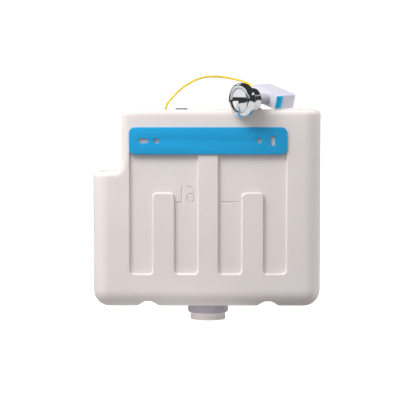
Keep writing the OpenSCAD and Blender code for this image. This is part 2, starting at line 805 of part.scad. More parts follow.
// Tube that leads the filling water down quietly, with the collar that the float rests on
module silencer_tube() {
    collar_t = 4;
    color("#eceded") at_wall() translate([column_x, y_mid, 0]) difference() {
        union() {
            translate([0, 0, column_z]) cylinder(r = column_r, h = socket_z + socket_depth - column_z);
            translate([0, 0, float_z - gap - collar_t]) cylinder(r = column_r + 4, h = collar_t);
        }
        translate([0, 0, column_z - cut]) cylinder(r = column_r - 1.5, h = tank_h);
    }
}

// Inverted float cup that slides on the silencer tube, with the arm that carries its rod
module float_cup() {
    top = float_z + float_h;
    color("#dfe6ec") at_wall() translate([column_x, y_mid, 0]) difference() {
        union() {
            translate([0, 0, float_z]) cylinder(d = float_d, h = float_h);
            block([float_d / 2 - 4, -5, top - 4], [rod_x - column_x + 4, 5, top]);
        }
        difference() {
            translate([0, 0, float_z - cut])
                cylinder(r = float_d / 2 - float_wall, h = float_h - float_wall + cut);
            translate([0, 0, float_z - cut]) cylinder(r = float_bore_r + float_wall, h = float_h);
        }
        translate([0, 0, float_z - cut]) cylinder(r = float_bore_r, h = float_h + 2 * cut);
    }
}

// Rod from the float to its lever, with a cross pin at its top
module float_rod() {
    top = float_z + float_h;
    color("#b9bcc2") at_wall() translate([rod_x, y_mid, 0]) {
        translate([0, 0, top]) cylinder(r = rod_r, h = inlet_z + 3 - top);
        translate([0, -float_lever_w / 2, inlet_z]) along_y() cylinder(r = rod_pin_r, h = float_lever_w);
    }
}

// Lever that presses the valve shut as the float rises
module float_lever() {
    fork = rod_pin_r + 0.6;
    color("#5b9cc8") at_wall() translate([float_pivot_x, y_mid, inlet_z]) difference() {
        union() {
            translate([0, -float_lever_w / 2, 0]) along_y() cylinder(r = 5, h = float_lever_w);
            block([0, -float_lever_w / 2, -float_arm_h / 2],
                [float_arm_end, float_lever_w / 2, float_arm_h / 2]);
        }
        translate([0, -float_lever_w, 0]) along_y()
            cylinder(r = float_pin_r + pin_gap, h = 2 * float_lever_w);
        block([float_arm - 2 * fork, -rod_r - 0.5, -float_arm_h],
            [float_arm_end + cut, rod_r + 0.5, float_arm_h]);
        block([float_arm - fork, -float_lever_w, -fork], [float_arm_end + cut, float_lever_w, fork]);
    }
}
module float_lever_pin() {
    reach = float_lever_w / 2 + gap + 3;
    color("#b9bcc2") at_wall() translate([float_pivot_x, y_mid - reach, inlet_z]) along_y()
        cylinder(r = float_pin_r, h = 2 * reach);
}

// Full, domed chrome bezel that shows on the panel, with a deep seat for the button's head
module button_bezel() {
    rim = bezel_d / 2;
    back_r = 3;
    steps = 8;
    dome = [for (k = [0:steps]) let (a = 90 * k / steps)
        [ring_r + (rim - ring_r) * cos(a), 1.2 + (bezel_h - 1.2) * sin(a)]];
    back = [for (k = [0:steps]) let (a = 90 * k / steps)
        [rim - back_r * (1 - sin(a)), -bezel_back + back_r * (1 - cos(a))]];
    bore = barrel_d / 2 - barrel_wall;
    seat_z = -bezel_back + bezel_floor;
    color("#d5d8dc") at_button() rotate_extrude()
        polygon(concat([[bore, -bezel_back]], back, dome,
            [[seat_r, bezel_h - 0.6], [seat_r, seat_z], [bore, seat_z]]));
}

// Threaded barrel that passes the panel
module button_barrel() {
    color("#c9ccd1") at_button() ring(barrel_d / 2 - barrel_wall, barrel_d / 2, -barrel_l, -bezel_back);
}

// Nut that screws into the barrel's end and holds the neck
module clamp_nut() {
    bore = neck_d / 2 + gap;
    spigot = barrel_d / 2 - barrel_wall - gap;
    face = -barrel_l - clamp_t;
    color("#c4c7cc") at_button() rotate_extrude()
        polygon([[bore, -barrel_l + clamp_lap], [spigot, -barrel_l + clamp_lap], [spigot, -barrel_l],
            [barrel_d / 2, -barrel_l], [barrel_d / 2, face], [neck_d / 2 + 3, face - clamp_taper],
            [bore, face - clamp_taper]]);
}

// Neck that carries the actuator box on the barrel and guides the push rod
module guide_neck() {
    foot = -barrel_l + clamp_lap;
    color("#c8c7cf") at_button() difference() {
        union() {
            translate([0, 0, foot]) cylinder(r = barrel_d / 2 - barrel_wall - gap, h = neck_flange_t);
            translate([0, 0, box_z1]) cylinder(d = neck_d, h = foot - box_z1 + cut);
        }
        translate([0, 0, box_z1 - cut]) cylinder(r = push_rod_r + gap, h = box_reach);
    }
}

// Domed chrome cap that is pressed: a wide head on a skirt that slides in the barrel
module push_button() {
    crown = 7;
    edge = 4.6;
    under = 2.9;
    foot = -cap_depth;
    web = edge - 2.5;
    steps = 6;
    dome = [for (k = [0:steps]) let (r = head_r * (1 - k / steps))
        [r, crown - (crown - edge) * pow(r / head_r, 2)]];
    color("#dfe2e6") at_button() rotate_extrude()
        polygon(concat([[0, foot], [rod_head_r, foot], [rod_head_r, web], [cap_r - 1.6, web],
            [cap_r - 1.6, foot], [cap_r, foot], [cap_r, under], [head_r, under]], dome));
}

// Rod from the cap to the rocker, with a round nose
module push_rod() {
    nose = rocker_z + rocker_arm_rise + push_rod_r + gap;
    color("#e9e7f0") at_button() {
        translate([0, 0, -rod_head_z]) cylinder(r = rod_head_r, h = rod_head_z - cap_depth);
        translate([0, 0, nose]) cylinder(r = push_rod_r, h = -rod_head_z - nose + cut);
        translate([0, 0, nose]) sphere(r = push_rod_r);
    }
}

// White box that turns the button's stroke into a pull on the cable
module actuator_housing() {
    color("#e9e7f4") at_button() difference() {
        union() {
            difference() {
                block([box_x0, cover_y1, box_z0], [box_x1, box_y1, box_z1]);
                block([box_x0 + box_wall, cover_y1 - cut, box_z0 + box_wall],
                    [box_x1 - box_wall, box_y1 - box_wall, box_z1 - box_wall]);
            }
            for (p = screw_spots) translate([p[0], cover_y1, p[1]]) along_y()
                cylinder(r = boss_r, h = box_y1 - box_wall - cover_y1 + cut);
        }
        for (p = screw_spots) translate([p[0], cover_y1 - cut, p[1]]) along_y()
            cylinder(r = screw_r, h = screw_l + cut);
        translate([0, 0, box_z1 - box_wall - cut]) cylinder(r = push_rod_r + gap, h = box_wall + 2 * cut);
        translate([box_x0 - cut, pull_y, pull_z]) along_x()
            cylinder(r = cable_d / 2 + gap, h = box_wall + 2 * cut);
        block([box_x1 - box_wall - cut, -5, slide_z - 2], [box_x1 + cut, 7.5, slide_z + 2]);
    }
}

// Flat cover under the box
module actuator_cover() {
    color("#dcdae6") at_button() difference() {
        block([box_x0, box_y0, box_z0], [box_x1, cover_y1, box_z1]);
        for (p = screw_spots) translate([p[0], box_y0 - cut, p[1]]) along_y() {
            cylinder(r = screw_head_r + gap, h = screw_head_t + cut);
            cylinder(r = screw_r + gap, h = cover_t + 2 * cut);
        }
    }
}

// Countersunk screws of the cover
module cover_screws() {
    color("#9da1a8") at_button() for (p = screw_spots) translate([p[0], box_y0, p[1]]) along_y() {
        cylinder(r = screw_head_r, h = screw_head_t);
        cylinder(r = screw_r - 0.1, h = cover_t + screw_l - cut);
    }
}

// Blue slide on the box's corner that locks the cover
module lock_slide() {
    y1 = box_y1 - gap;
    y0 = y1 - slide_h;
    z1 = box_z1 + 1;
    z0 = z1 - slide_w;
    bulge_r = (slide_w * slide_w / 4 + slide_bulge * slide_bulge) / (2 * slide_bulge);
    in_x = box_x1 - box_wall - gap;
    stem_y = [-1, 7.2];
    stem_t = 3.4;
    color("#1388ab") at_button() {
        intersection() {
            block([box_x1 + gap, y0, z0], [box_x1 + gap + slide_bulge, y1, z1]);
            translate([box_x1 + gap + slide_bulge - bulge_r, y0, (z0 + z1) / 2]) along_y()
                cylinder(r = bulge_r, h = slide_h);
        }
        block([in_x - cut, stem_y[0], slide_z - stem_t / 2],
            [box_x1 + gap + 0.5, stem_y[1], slide_z + stem_t / 2]);
        block([in_x - 2, stem_y[0] - 2, slide_z - stem_t], [in_x, stem_y[1] + 2, slide_z + stem_t]);
    }
}

// Rocker: the rod pushes one arm and the other arm pulls the wire
module rocker() {
    reach = 19;
    arm_w = 2 * (rocker_nipple_r + 2.4);
    notch = rocker_nipple_r + 0.7;
    arm_end = rocker_wire_arm + 4.5;
    arm_y = [pull_y - pull_half - 0.4, pull_y + pull_half];
    hub_y = box_y1 - box_wall - gap;
    color("#e3e3ea") at_button() translate([rocker_x, 0, rocker_z]) difference() {
        union() {
            translate([0, cover_y1 + gap, 0]) along_y()
                cylinder(r = rocker_hub_r, h = hub_y - cover_y1 - gap);
            block([0, -4, -2], [reach, 4, rocker_arm_rise]);
            block([-arm_w / 2, arm_y[0], 0], [arm_w / 2, arm_y[1], arm_end]);
        }
        translate([0, -box_t, 0]) along_y() cylinder(r = rocker_pin_r + pin_gap, h = 2 * box_t);
        block([-notch, 0, rocker_wire_arm - notch], [notch, box_t, arm_end + cut]);
        block([-arm_w, pull_y - 1.2, rocker_wire_arm - notch], [arm_w, pull_y + 1.2, arm_end + cut]);
        translate([0, cover_y1, 0]) along_y() ring(rocker_hub_r - 1.5, rocker_hub_r + cut, 0, 3 + gap);
    }
}
module rocker_pin() {
    color("#b9bcc2") at_button() translate([rocker_x, cover_y1, rocker_z]) along_y()
        cylinder(r = rocker_pin_r, h = box_y1 - box_wall - cover_y1);
}

// Coil of the return spring, round the foot of the rocker's hub
module rocker_spring() {
    color("#8f949b") at_button() translate([rocker_x, cover_y1 + gap, rocker_z]) along_y()
        ring(rocker_hub_r - 1.5 + gap / 2, rocker_hub_r, 0, 3 - gap / 2);
}

// Ferrule inside the box that the cable's sleeve ends on
module cable_ferrule() {
    color("#c9ccd1") at_button() translate([box_x0 + box_wall, pull_y, pull_z]) along_x()
        ring(stop_bore_r, ferrule_r, 0, ferrule_l);
}

// Upper end of the pull wire, with its barrel nipple in the rocker
module actuator_wire() {
    start = box_x0 + box_wall + 1.3;
    color("#9da1a8") at_button() translate([0, pull_y, pull_z]) {
        translate([start, 0, 0]) along_x() cylinder(r = wire_r, h = rocker_x - start);
        translate([rocker_x, -pull_half, 0]) along_y() cylinder(r = rocker_nipple_r, h = 2 * pull_half);
    }
}

// Ring of points about one point of a route, square to the route there
function ring_at(route, i, r, n) =
    let (a = route[max(i - 1, 0)], b = route[min(i + 1, len(route) - 1)], t = unit(b - a),
        u = unit(cross(t, [0, 1, 0])), v = cross(t, u))
    [for (k = [0:n - 1]) route[i] + r * (u * cos(360 * k / n) + v * sin(360 * k / n))];

// Free run of the yellow cable, from the gland to the ferrule in the box
module cable() {
    sides = 8;
    rings = len(cable_route);
    points = [for (i = [0:rings - 1]) each ring_at(cable_route, i, cable_d / 2, sides)];
    last = (rings - 1) * sides;
    walls = [for (i = [0:rings - 2], k = [0:sides - 1], h = [0, 1])
        let (a = i * sides + k, b = i * sides + (k + 1) % sides)
        h == 0 ? [a, b, a + sides] : [b, b + sides, a + sides]];
    ends = [for (k = [1:sides - 2], h = [0, 1]) h == 0 ? [0, k + 1, k] : [last, last + k, last + k + 1]];
    color("#e6c82e") on_outlet() translate([0, 0, tank_h]) polyhedron(points, concat(walls, ends));
}

tank();
tank_lid();
lid_gasket();
lid_lock_left();
lid_lock_right();
cable_gland();
wall_bracket();
outlet_body();
outlet_washer();
outlet_back_nut();
valve_cage();
overflow_piston();
piston_float();
flush_seal();
lift_lever();
lever_pin();
cable_stop();
pull_wire();
cable_inner_run();
inlet_bush();
inlet_washer();
inlet_nut();
fill_valve_body();
fill_valve_cap();
silencer_tube();
float_cup();
float_rod();
float_lever();
float_lever_pin();
button_bezel();
button_barrel();
clamp_nut();
guide_neck();
push_button();
push_rod();
actuator_housing();
actuator_cover();
cover_screws();
lock_slide();
rocker();
rocker_pin();
rocker_spring();
cable_ferrule();
actuator_wire();
cable();
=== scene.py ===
import math

import bpy
from mathutils import Matrix, Vector


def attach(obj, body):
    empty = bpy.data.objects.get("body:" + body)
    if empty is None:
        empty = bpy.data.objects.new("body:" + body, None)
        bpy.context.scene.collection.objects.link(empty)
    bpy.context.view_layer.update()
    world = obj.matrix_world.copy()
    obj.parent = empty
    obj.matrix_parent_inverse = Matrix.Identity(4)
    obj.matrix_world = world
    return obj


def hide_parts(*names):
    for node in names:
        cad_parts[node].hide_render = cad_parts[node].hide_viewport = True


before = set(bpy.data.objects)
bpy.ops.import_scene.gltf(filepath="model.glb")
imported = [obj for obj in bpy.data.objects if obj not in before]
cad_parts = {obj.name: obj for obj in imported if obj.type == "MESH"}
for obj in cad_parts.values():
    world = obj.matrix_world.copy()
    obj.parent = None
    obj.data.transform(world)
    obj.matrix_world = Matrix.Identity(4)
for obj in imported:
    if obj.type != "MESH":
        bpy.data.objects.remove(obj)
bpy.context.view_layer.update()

# Camera: a long lens a little above the level of the tank's top, square to its wall side, 2.8 m away.
# Heights are counted in millimetres from the tank's underside, and place() takes them to the frame,
# whose origin lies midway between the two wall screws.
SCREW_HEIGHT = 277.5
SENSOR_MM = 36.0


def place(x, y, z):
    return Vector((x, y, z - SCREW_HEIGHT)) / 1000


VIEW_MIDDLE = place(-13.4, 3.0, 179.5)
VIEW_FROM = place(-13.4, -2800.0, 345.0)
VIEW_WIDTH = 0.6627
bpy.ops.object.select_all(action="DESELECT")
bpy.ops.object.camera_add(location=VIEW_FROM)
camera = bpy.context.object
camera.name = "camera"
camera.rotation_euler = (VIEW_MIDDLE - VIEW_FROM).to_track_quat("-Z", "Y").to_euler()
camera.data.sensor_width = SENSOR_MM
camera.data.lens = SENSOR_MM * (VIEW_MIDDLE - VIEW_FROM).length / VIEW_WIDTH
camera.data.clip_end = 60.0
bpy.context.scene.camera = camera


# Cable: one thin yellow sleeve over a steel wire, about 0.19 m long between the grommet in the tank's
# top and the white box. It is springy enough to stand in an arch between its two ends. Its route is
# counted from the middle of the tank's depth and from the tank's top.
CABLE_ROUTE = [(-71, 0, -4), (-71, 0, 2.5), (-69.4, 0, 8), (-66, 0, 13.3), (-61.5, 0, 18.5),
               (-55, 1, 25.5), (-47.5, 2, 33), (-39, 3.2, 39.5), (-30, 4.8, 45), (-20.5, 6.5, 49.8),
               (-11, 8.5, 53.2), (-1.5, 10.5, 55), (8, 12, 55.6), (17.5, 13.3, 55.4), (27, 14, 54.5),
               (36.5, 13.5, 52.8), (45.5, 11.5, 51), (54, 8.5, 49), (61.5, 4.3, 46.5),
               (68, -1.3, 43.4), (74, -7.6, 39.9), (80.4, -14.7, 37)]
TANK_MIDDLE_Y = 68.0
TANK_TOP = 329.0
CABLE_DIAMETER = 0.0035


def linear(hex_colour):
    """sRGB hex to the linear colour that a shader socket takes."""
    parts = [int(hex_colour[i:i + 2], 16) / 255 for i in (1, 3, 5)]
    return [p / 12.92 if p <= 0.04045 else ((p + 0.055) / 1.055) ** 2.4 for p in parts] + [1.0]


def add_node(material, kind, **given):
    """Adds one node. Each keyword is an input, given a value or (node, output name), or else a setting."""
    made = material.node_tree.nodes.new(kind)
    for key, value in given.items():
        socket = made.inputs.get(key.replace("_", " "))
        if socket is None:
            setattr(made, key, value)
        elif isinstance(value, tuple) and isinstance(value[0], bpy.types.Node):
            material.node_tree.links.new(value[0].outputs[value[1]], socket)
        else:
            socket.default_value = value
    return made


def new_material(name):
    material = bpy.data.materials.new(name)
    material.use_nodes = True
    return material, material.node_tree.nodes["Principled BSDF"]


def finish(name, dark, light, patch_mm, detail, grain=None, grain_mm=None, polish=None, **sockets):
    """Material whose colour wanders between two shades, in patches of about this many millimetres.

    grain is the strength and the depth, in metres, of a bump that follows the patches, or finer ones of
    grain_mm. polish is the range of roughness over the patches. The rest are the shader's own sockets.
    """
    material, shader = new_material(name)
    link = material.node_tree.links.new
    spot = add_node(material, "ShaderNodeTexCoord")
    patches = add_node(material, "ShaderNodeTexNoise", label="patches", Vector=(spot, "Object"),
                       Scale=1000 / patch_mm, Detail=detail)
    tone = add_node(material, "ShaderNodeValToRGB", label="shades", Fac=(patches, "Fac"))
    for stop, shade in zip(tone.color_ramp.elements, (dark, light)):
        stop.color = linear(shade)
    link(tone.outputs["Color"], shader.inputs["Base Color"])
    if grain:
        relief = patches
        if grain_mm:
            relief = add_node(material, "ShaderNodeTexNoise", label="grain", Vector=(spot, "Object"),
                              Scale=1000 / grain_mm, Detail=1.0)
        bump = add_node(material, "ShaderNodeBump", Height=(relief, "Fac"), Strength=grain[0],
                        Distance=grain[1])
        link(bump.outputs["Normal"], shader.inputs["Normal"])
    if polish:
        dulled = add_node(material, "ShaderNodeMapRange", label="polish", Value=(patches, "Fac"),
                          To_Min=polish[0], To_Max=polish[1])
        link(dulled.outputs["Result"], shader.inputs["Roughness"])
    for socket, value in sockets.items():
        shader.inputs[socket].default_value = value
    return material


def dress(obj, material):
    """The piece shows this material alone."""
    obj.data.materials.clear()
    obj.data.materials.append(material)


def tube_line(name, points, thickness, roundness):
    """Curve through the points, made a tube with closed ends."""
    line = bpy.data.curves.new(name, "CURVE")
    line.dimensions = "3D"
    line.bevel_depth = thickness / 2
    line.bevel_resolution = roundness
    line.use_fill_caps = True
    run = line.splines.new("POLY")
    run.points.add(len(points) - 1)
    for point, where in zip(run.points, points):
        point.co = (*where, 1.0)
    obj = bpy.data.objects.new(name, line)
    bpy.context.scene.collection.objects.link(obj)
    return obj


# The knots are joined by a smooth curve that passes through each of them.
knots = [place(x, y + TANK_MIDDLE_Y, z + TANK_TOP) for x, y, z in CABLE_ROUTE]
route = []
for a, b, c, d in zip(knots[:1] + knots, knots, knots[1:], knots[2:] + knots[-1:]):
    for t in (0.0, 0.25, 0.5, 0.75):
        bend = (2 * a - 5 * b + 4 * c - d) * t * t + (3 * b - a - 3 * c + d) * t ** 3
        route.append(0.5 * (2 * b + (c - a) * t + bend))
route.append(knots[-1])

# Soft PVC sleeve, extruded: a low sheen, a slightly uneven skin and a yellow that varies a little.
cable_sleeve = finish("yellow_pvc_sleeve", "#ebc820", "#efcf2a", 16.67, 2.0, (0.08, 0.0004),
                      Roughness=0.38, IOR=1.53)
cable_sleeve_piece = tube_line("cable_sleeve", route, CABLE_DIAMETER, 5)
dress(cable_sleeve_piece, cable_sleeve)
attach(cable_sleeve_piece, "root")
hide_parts("cable")


# Tank: a seamless bottle of off-white polyethylene, blow-moulded in two halves, so every edge is soft.
# A notch is let out of one upper corner, and the wall side has a shallow ribbed panel. The wall strip,
# the lid, the inlet and the outlet are fitted to openings cut after moulding.
TANK_LEFT, TANK_RIGHT, TANK_FRONT, TANK_BACK = -192.0, 188.0, 3.0, 133.0
NOTCH_WALL, SHELF = -143.6, 225.5
UPPER_FOOT = SHELF - 60
BIG_EDGE, TOP_EDGE, NOTCH_EDGE, SHELF_EDGE = 0.028, 0.009, 0.012, 0.0075
NEAR = 0.001


def edit(obj):
    """Makes one object the only selected one, with nothing selected in its mesh and edges to be picked."""
    bpy.ops.object.select_all(action="DESELECT")
    obj.select_set(True)
    bpy.context.view_layer.objects.active = obj
    bpy.ops.object.mode_set(mode="EDIT")
    bpy.ops.mesh.select_mode(type="EDGE")
    bpy.ops.mesh.select_all(action="DESELECT")
    bpy.ops.object.mode_set(mode="OBJECT")


def block(name, low, high):
    """Cube primitive between two corners, given in millimetres."""
    low, high = place(*low), place(*high)
    bpy.ops.object.select_all(action="DESELECT")
    bpy.ops.mesh.primitive_cube_add(size=1, location=(low + high) / 2)
    obj = bpy.context.object
    obj.name = name
    obj.scale = high - low
    bpy.ops.object.transform_apply(location=True, rotation=True, scale=True)
    return obj


def round_edges(obj, radius, segments, wanted):
    """Bevels the edges whose two ends pass the test."""
    edit(obj)
    points = obj.data.vertices
    for edge in obj.data.edges:
        edge.select = wanted(*(points[i].co for i in edge.vertices))
    bpy.ops.object.mode_set(mode="EDIT")
    bpy.ops.mesh.bevel(offset=radius, segments=segments, affect="EDGES", clamp_overlap=False)
    bpy.ops.object.mode_set(mode="OBJECT")


def upright(a, b):
    return abs(a.z - b.z) > NEAR


def apply_modifier(obj, kind, **settings):
    """Adds a modifier with its settings and applies it."""
    bpy.ops.object.select_all(action="DESELECT")
    obj.select_set(True)
    bpy.context.view_layer.objects.active = obj
    modifier = obj.modifiers.new(kind.lower(), kind)
    for key, value in settings.items():
        setattr(modifier, key, value)
    bpy.ops.object.modifier_apply(modifier=modifier.name)


def carve(obj, tool, operation="DIFFERENCE"):
    """Cuts the tool from the piece, or joins it on, and throws the tool away."""
    apply_modifier(obj, "BOOLEAN", object=tool, operation=operation, solver="EXACT")
    bpy.data.objects.remove(tool)


def raw_piece(name, points, edges, faces):
    """Mesh object from points, with its edges or its faces."""
    mesh = bpy.data.meshes.new(name)
    mesh.from_pydata(points, edges, faces)
    obj = bpy.data.objects.new(name, mesh)
    bpy.context.scene.collection.objects.link(obj)
    return obj


def outline_plate(name, outline, y0, y1):
    """Plate of an outline in x and z, in millimetres, extruded from y0 to y1."""
    obj = raw_piece(name, [place(x, y0, z) for x, z in outline], [], [list(range(len(outline)))])
    edit(obj)
    bpy.ops.object.mode_set(mode="EDIT")
    bpy.ops.mesh.select_all(action="SELECT")
    bpy.ops.mesh.extrude_region_move(TRANSFORM_OT_translate={"value": (0, (y1 - y0) / 1000, 0)})
    bpy.ops.mesh.select_all(action="SELECT")
    bpy.ops.mesh.normals_make_consistent(inside=False)
    bpy.ops.object.mode_set(mode="OBJECT")
    return obj


def corners(x0, z0, x1, z1):
    return [(x0, z0), (x1, z0), (x1, z1), (x0, z1)]


def rounded(outline, radius, steps=6):
    """Outline of right-angled corners, each turned into an arc."""
    made = []
    for i, b in enumerate(outline):
        a, c = Vector(outline[i - 1]), Vector(outline[(i + 1) % len(outline)])
        b = Vector(b)
        u, v = (a - b).normalized(), (c - b).normalized()
        middle = b + radius * (u + v)
        for k in range(steps + 1):
            turn = math.pi / 2 * k / steps
            made.append(middle - radius * (v * math.cos(turn) + u * math.sin(turn)))
    return [tuple(p) for p in made]


def merge_close(obj, gap):
    """Merges the points that bevels leave on top of each other and turns the faces outward."""
    edit(obj)
    bpy.ops.object.mode_set(mode="EDIT")
    bpy.ops.mesh.select_all(action="SELECT")
    bpy.ops.mesh.remove_doubles(threshold=gap)
    bpy.ops.mesh.select_all(action="SELECT")
    bpy.ops.mesh.dissolve_degenerate(threshold=gap / 2)
    bpy.ops.mesh.select_all(action="SELECT")
    bpy.ops.mesh.normals_make_consistent(inside=False)
    bpy.ops.object.mode_set(mode="OBJECT")


tank = block("tank_moulding", (TANK_LEFT, TANK_FRONT, 0), (TANK_RIGHT, TANK_BACK, SHELF))
floor_level, shelf_level, top_level = (place(0, 0, z).z for z in (0, SHELF, TANK_TOP))
round_edges(tank, BIG_EDGE, 10, upright)
round_edges(tank, BIG_EDGE * 0.999, 10, lambda a, b: max(a.z, b.z) < floor_level + NEAR)
round_edges(tank, SHELF_EDGE, 4, lambda a, b: min(a.z, b.z) > shelf_level - NEAR)
merge_close(tank, 0.0002)
upper = block("upper_form", (NOTCH_WALL, TANK_FRONT, UPPER_FOOT), (TANK_RIGHT, TANK_BACK, TANK_TOP))
round_edges(upper, BIG_EDGE, 10, lambda a, b: upright(a, b) and a.x > 0)
round_edges(upper, NOTCH_EDGE, 6, lambda a, b: upright(a, b) and a.x < 0)
round_edges(upper, TOP_EDGE, 5, lambda a, b: min(a.z, b.z) > top_level - NEAR)
carve(tank, upper, "UNION")

# The notch's inner corner is a wide hollow curve, rounded over at the wall side and the room side.
FILLET, FILLET_EDGE, SUNK_DOWN, SUNK_IN = 17.0, 0.010, 12, 30
corner = block("notch_corner", (NOTCH_WALL - FILLET, TANK_FRONT, SHELF - SUNK_DOWN),
               (NOTCH_WALL + SUNK_IN, TANK_BACK, SHELF + FILLET))
bpy.ops.object.select_all(action="DESELECT")
bpy.ops.mesh.primitive_cylinder_add(vertices=64, radius=FILLET / 1000, depth=0.3,
                                    location=place(NOTCH_WALL - FILLET, TANK_MIDDLE_Y, SHELF + FILLET),
                                    rotation=(math.pi / 2, 0, 0))
carve(corner, bpy.context.object)
hollow_middle = place(NOTCH_WALL - FILLET, 0, SHELF + FILLET)


def on_hollow(point):
    reach = math.hypot(point.x - hollow_middle.x, point.z - hollow_middle.z)
    return abs(reach - FILLET / 1000) < 0.0003


round_edges(corner, FILLET_EDGE, 5, lambda a, b: abs(a.y - b.y) < NEAR and on_hollow(a) and on_hollow(b))
carve(tank, corner, "UNION")

# Two grooves under the floor let the tank stand over a pipe. Their flanks run out softly.
GROOVE_SIDE, GROOVE_DEPTH, GROOVE_HALF, GROOVE_FLANK = 100, 9.0, 20, 15
for side in (-1, 1):
    groove = [(-GROOVE_HALF - 1, -12)]
    for step in range(-GROOVE_HALF, GROOVE_HALF + 1):
        rise = min(1.0, (GROOVE_HALF - abs(step)) / GROOVE_FLANK)
        groove.append((step, GROOVE_DEPTH * rise * rise * (3 - 2 * rise) - 0.01))
    groove.append((GROOVE_HALF + 1, -12))
    carve(tank, outline_plate("floor_groove", [(x + GROOVE_SIDE * side, z) for x, z in groove], -20, 160))

# Blown plastic never reaches into a sharp corner of the mould, so all of it is drawn soft.
apply_modifier(tank, "REMESH", mode="VOXEL", voxel_size=0.0024)
apply_modifier(tank, "SMOOTH", factor=0.5, iterations=3)


def pressed(name, outline_at, profile):
    """Solid through a stack of like outlines, each (spread, depth): a core that the mould presses in."""
    rings = [[place(x, TANK_FRONT + depth, z) for x, z in outline_at(spread)] for spread, depth in profile]
    count = len(rings[0])
    faces = [list(range(count)), list(range(count * (len(rings) - 1), count * len(rings)))]
    for k in range(len(rings) - 1):
        for i in range(count):
            j = (i + 1) % count
            faces.append([k * count + i, k * count + j, (k + 1) * count + j, (k + 1) * count + i])
    obj = raw_piece(name, [point for ring in rings for point in ring], [], faces)
    merge_close(obj, 0.000001)
    return obj


# The ribbed panel is five millimetres deep, with drafted walls, a rolled rim and a small hollow at its
# foot. A shallow hollow behind each end of the strip leaves room for the screws.
PRESSED_WALL = [(1.5, -3), (1.5, 0), (1.05, 0.1), (0.7, 0.4), (0.45, 1.0), (0, 4.0), (-0.15, 4.5),
                (-0.5, 4.85), (-0.9, 5)]
MID_RIB, RIB_IN, RIB_OUT, PANEL_SIDE = 17, 56, 92, 130
PANEL_FOOT, RIB_TOP, PANEL_HEAD, PANEL_CORNER = 56, 191, 263, 7.0
HOLLOW_IN, HOLLOW_OUT, HOLLOW_LOW, HOLLOW_HIGH = 75.9, 117.5, 262, 293
HOLLOW_CORNER, HOLLOW_DEPTH = 5.0, 1.2
for side in (-1, 1):
    def panel(d):
        foot, tip, head = PANEL_FOOT - d, RIB_TOP - d, PANEL_HEAD + d
        comb = [(MID_RIB - d, foot), (RIB_IN + d, foot), (RIB_IN + d, tip), (RIB_OUT - d, tip),
                (RIB_OUT - d, foot), (PANEL_SIDE + d, foot), (PANEL_SIDE + d, head), (MID_RIB - d, head)]
        return [(x * side, z) for x, z in rounded(comb, PANEL_CORNER)]

    carve(tank, pressed("panel", panel, PRESSED_WALL))
    hollow = rounded(corners(HOLLOW_IN, HOLLOW_LOW, HOLLOW_OUT, HOLLOW_HIGH), HOLLOW_CORNER)
    carve(tank, outline_plate("hollow", [(x * side, z) for x, z in hollow], -5, TANK_FRONT + HOLLOW_DEPTH))

# Openings are cut after moulding, so their edges are crisp. The inside follows the outside.
SKIN, PANEL_BACK = 5, 16
SEAT_LEFT, SEAT_RIGHT, SEAT_NEAR, SEAT_FAR = -57, 93, 25, 111
SEAT_DEPTH, SEAT_LEDGE = 5, 7
INSIDE_EDGE = BIG_EDGE - 0.004
opening = block("inside", (TANK_LEFT + SKIN, PANEL_BACK, SKIN),
                (TANK_RIGHT - SKIN, TANK_BACK - SKIN, SHELF - SKIN))
inside_floor = place(0, 0, SKIN).z
round_edges(opening, INSIDE_EDGE, 8, upright)
round_edges(opening, INSIDE_EDGE * 0.999, 8, lambda a, b: max(a.z, b.z) < inside_floor + NEAR)
merge_close(opening, 0.0001)
inside_top = block("inside_top", (NOTCH_WALL + SKIN, PANEL_BACK, UPPER_FOOT),
                   (TANK_RIGHT - SKIN, TANK_BACK - SKIN, TANK_TOP - 10))
round_edges(inside_top, INSIDE_EDGE, 8, lambda a, b: upright(a, b) and a.x > 0)
carve(opening, inside_top, "UNION")
carve(opening, block("lid_seat", (SEAT_LEFT, SEAT_NEAR, TANK_TOP - SEAT_DEPTH),
                     (SEAT_RIGHT, SEAT_FAR, TANK_TOP + 3)), "UNION")
carve(opening, block("lid_hole", (SEAT_LEFT + SEAT_LEDGE, SEAT_NEAR + SEAT_LEDGE, 300),
                     (SEAT_RIGHT - SEAT_LEDGE, SEAT_FAR - SEAT_LEDGE, TANK_TOP + 2)), "UNION")


def rod(name, radius, start, end, sides=64):
    """Cylinder primitive between two points, in millimetres."""
    a, b = place(*start), place(*end)
    bpy.ops.object.select_all(action="DESELECT")
    bpy.ops.mesh.primitive_cylinder_add(vertices=sides, radius=radius / 1000, depth=(b - a).length,
                                        location=(a + b) / 2,
                                        rotation=(b - a).to_track_quat("Z", "Y").to_euler())
    made = bpy.context.object
    made.name = name
    bpy.ops.object.transform_apply(location=True, rotation=True, scale=True)
    return made


CABLE_ENTRY, INLET_HEIGHT = -71, 262
SPIGOT_SIDE, SPIGOT_HALF, SPIGOT_LOW, SPIGOT_HIGH = 45, 10, 269.5, 285.5
SPIGOT_END, SOCKET_GAP = 9, 0.3
SOCKET_HALF = SPIGOT_HALF + SOCKET_GAP
for name, radius, (x0, z0), (x1, z1) in (
        ("outlet_hole", 30.4, (0, -20), (0, 10)),
        ("gland_seat", 8.0, (CABLE_ENTRY, 327.5), (CABLE_ENTRY, 335)),
        ("gland_hole", 5.3, (CABLE_ENTRY, 310), (CABLE_ENTRY, 335)),
        ("inlet_seat", 18.3, (-160, INLET_HEIGHT), (NOTCH_WALL + 2.5, INLET_HEIGHT)),
        ("inlet_hole", 13.3, (-160, INLET_HEIGHT), (-130, INLET_HEIGHT))):
    carve(opening, rod(name, radius, (x0, TANK_MIDDLE_Y, z0), (x1, TANK_MIDDLE_Y, z1)), "UNION")
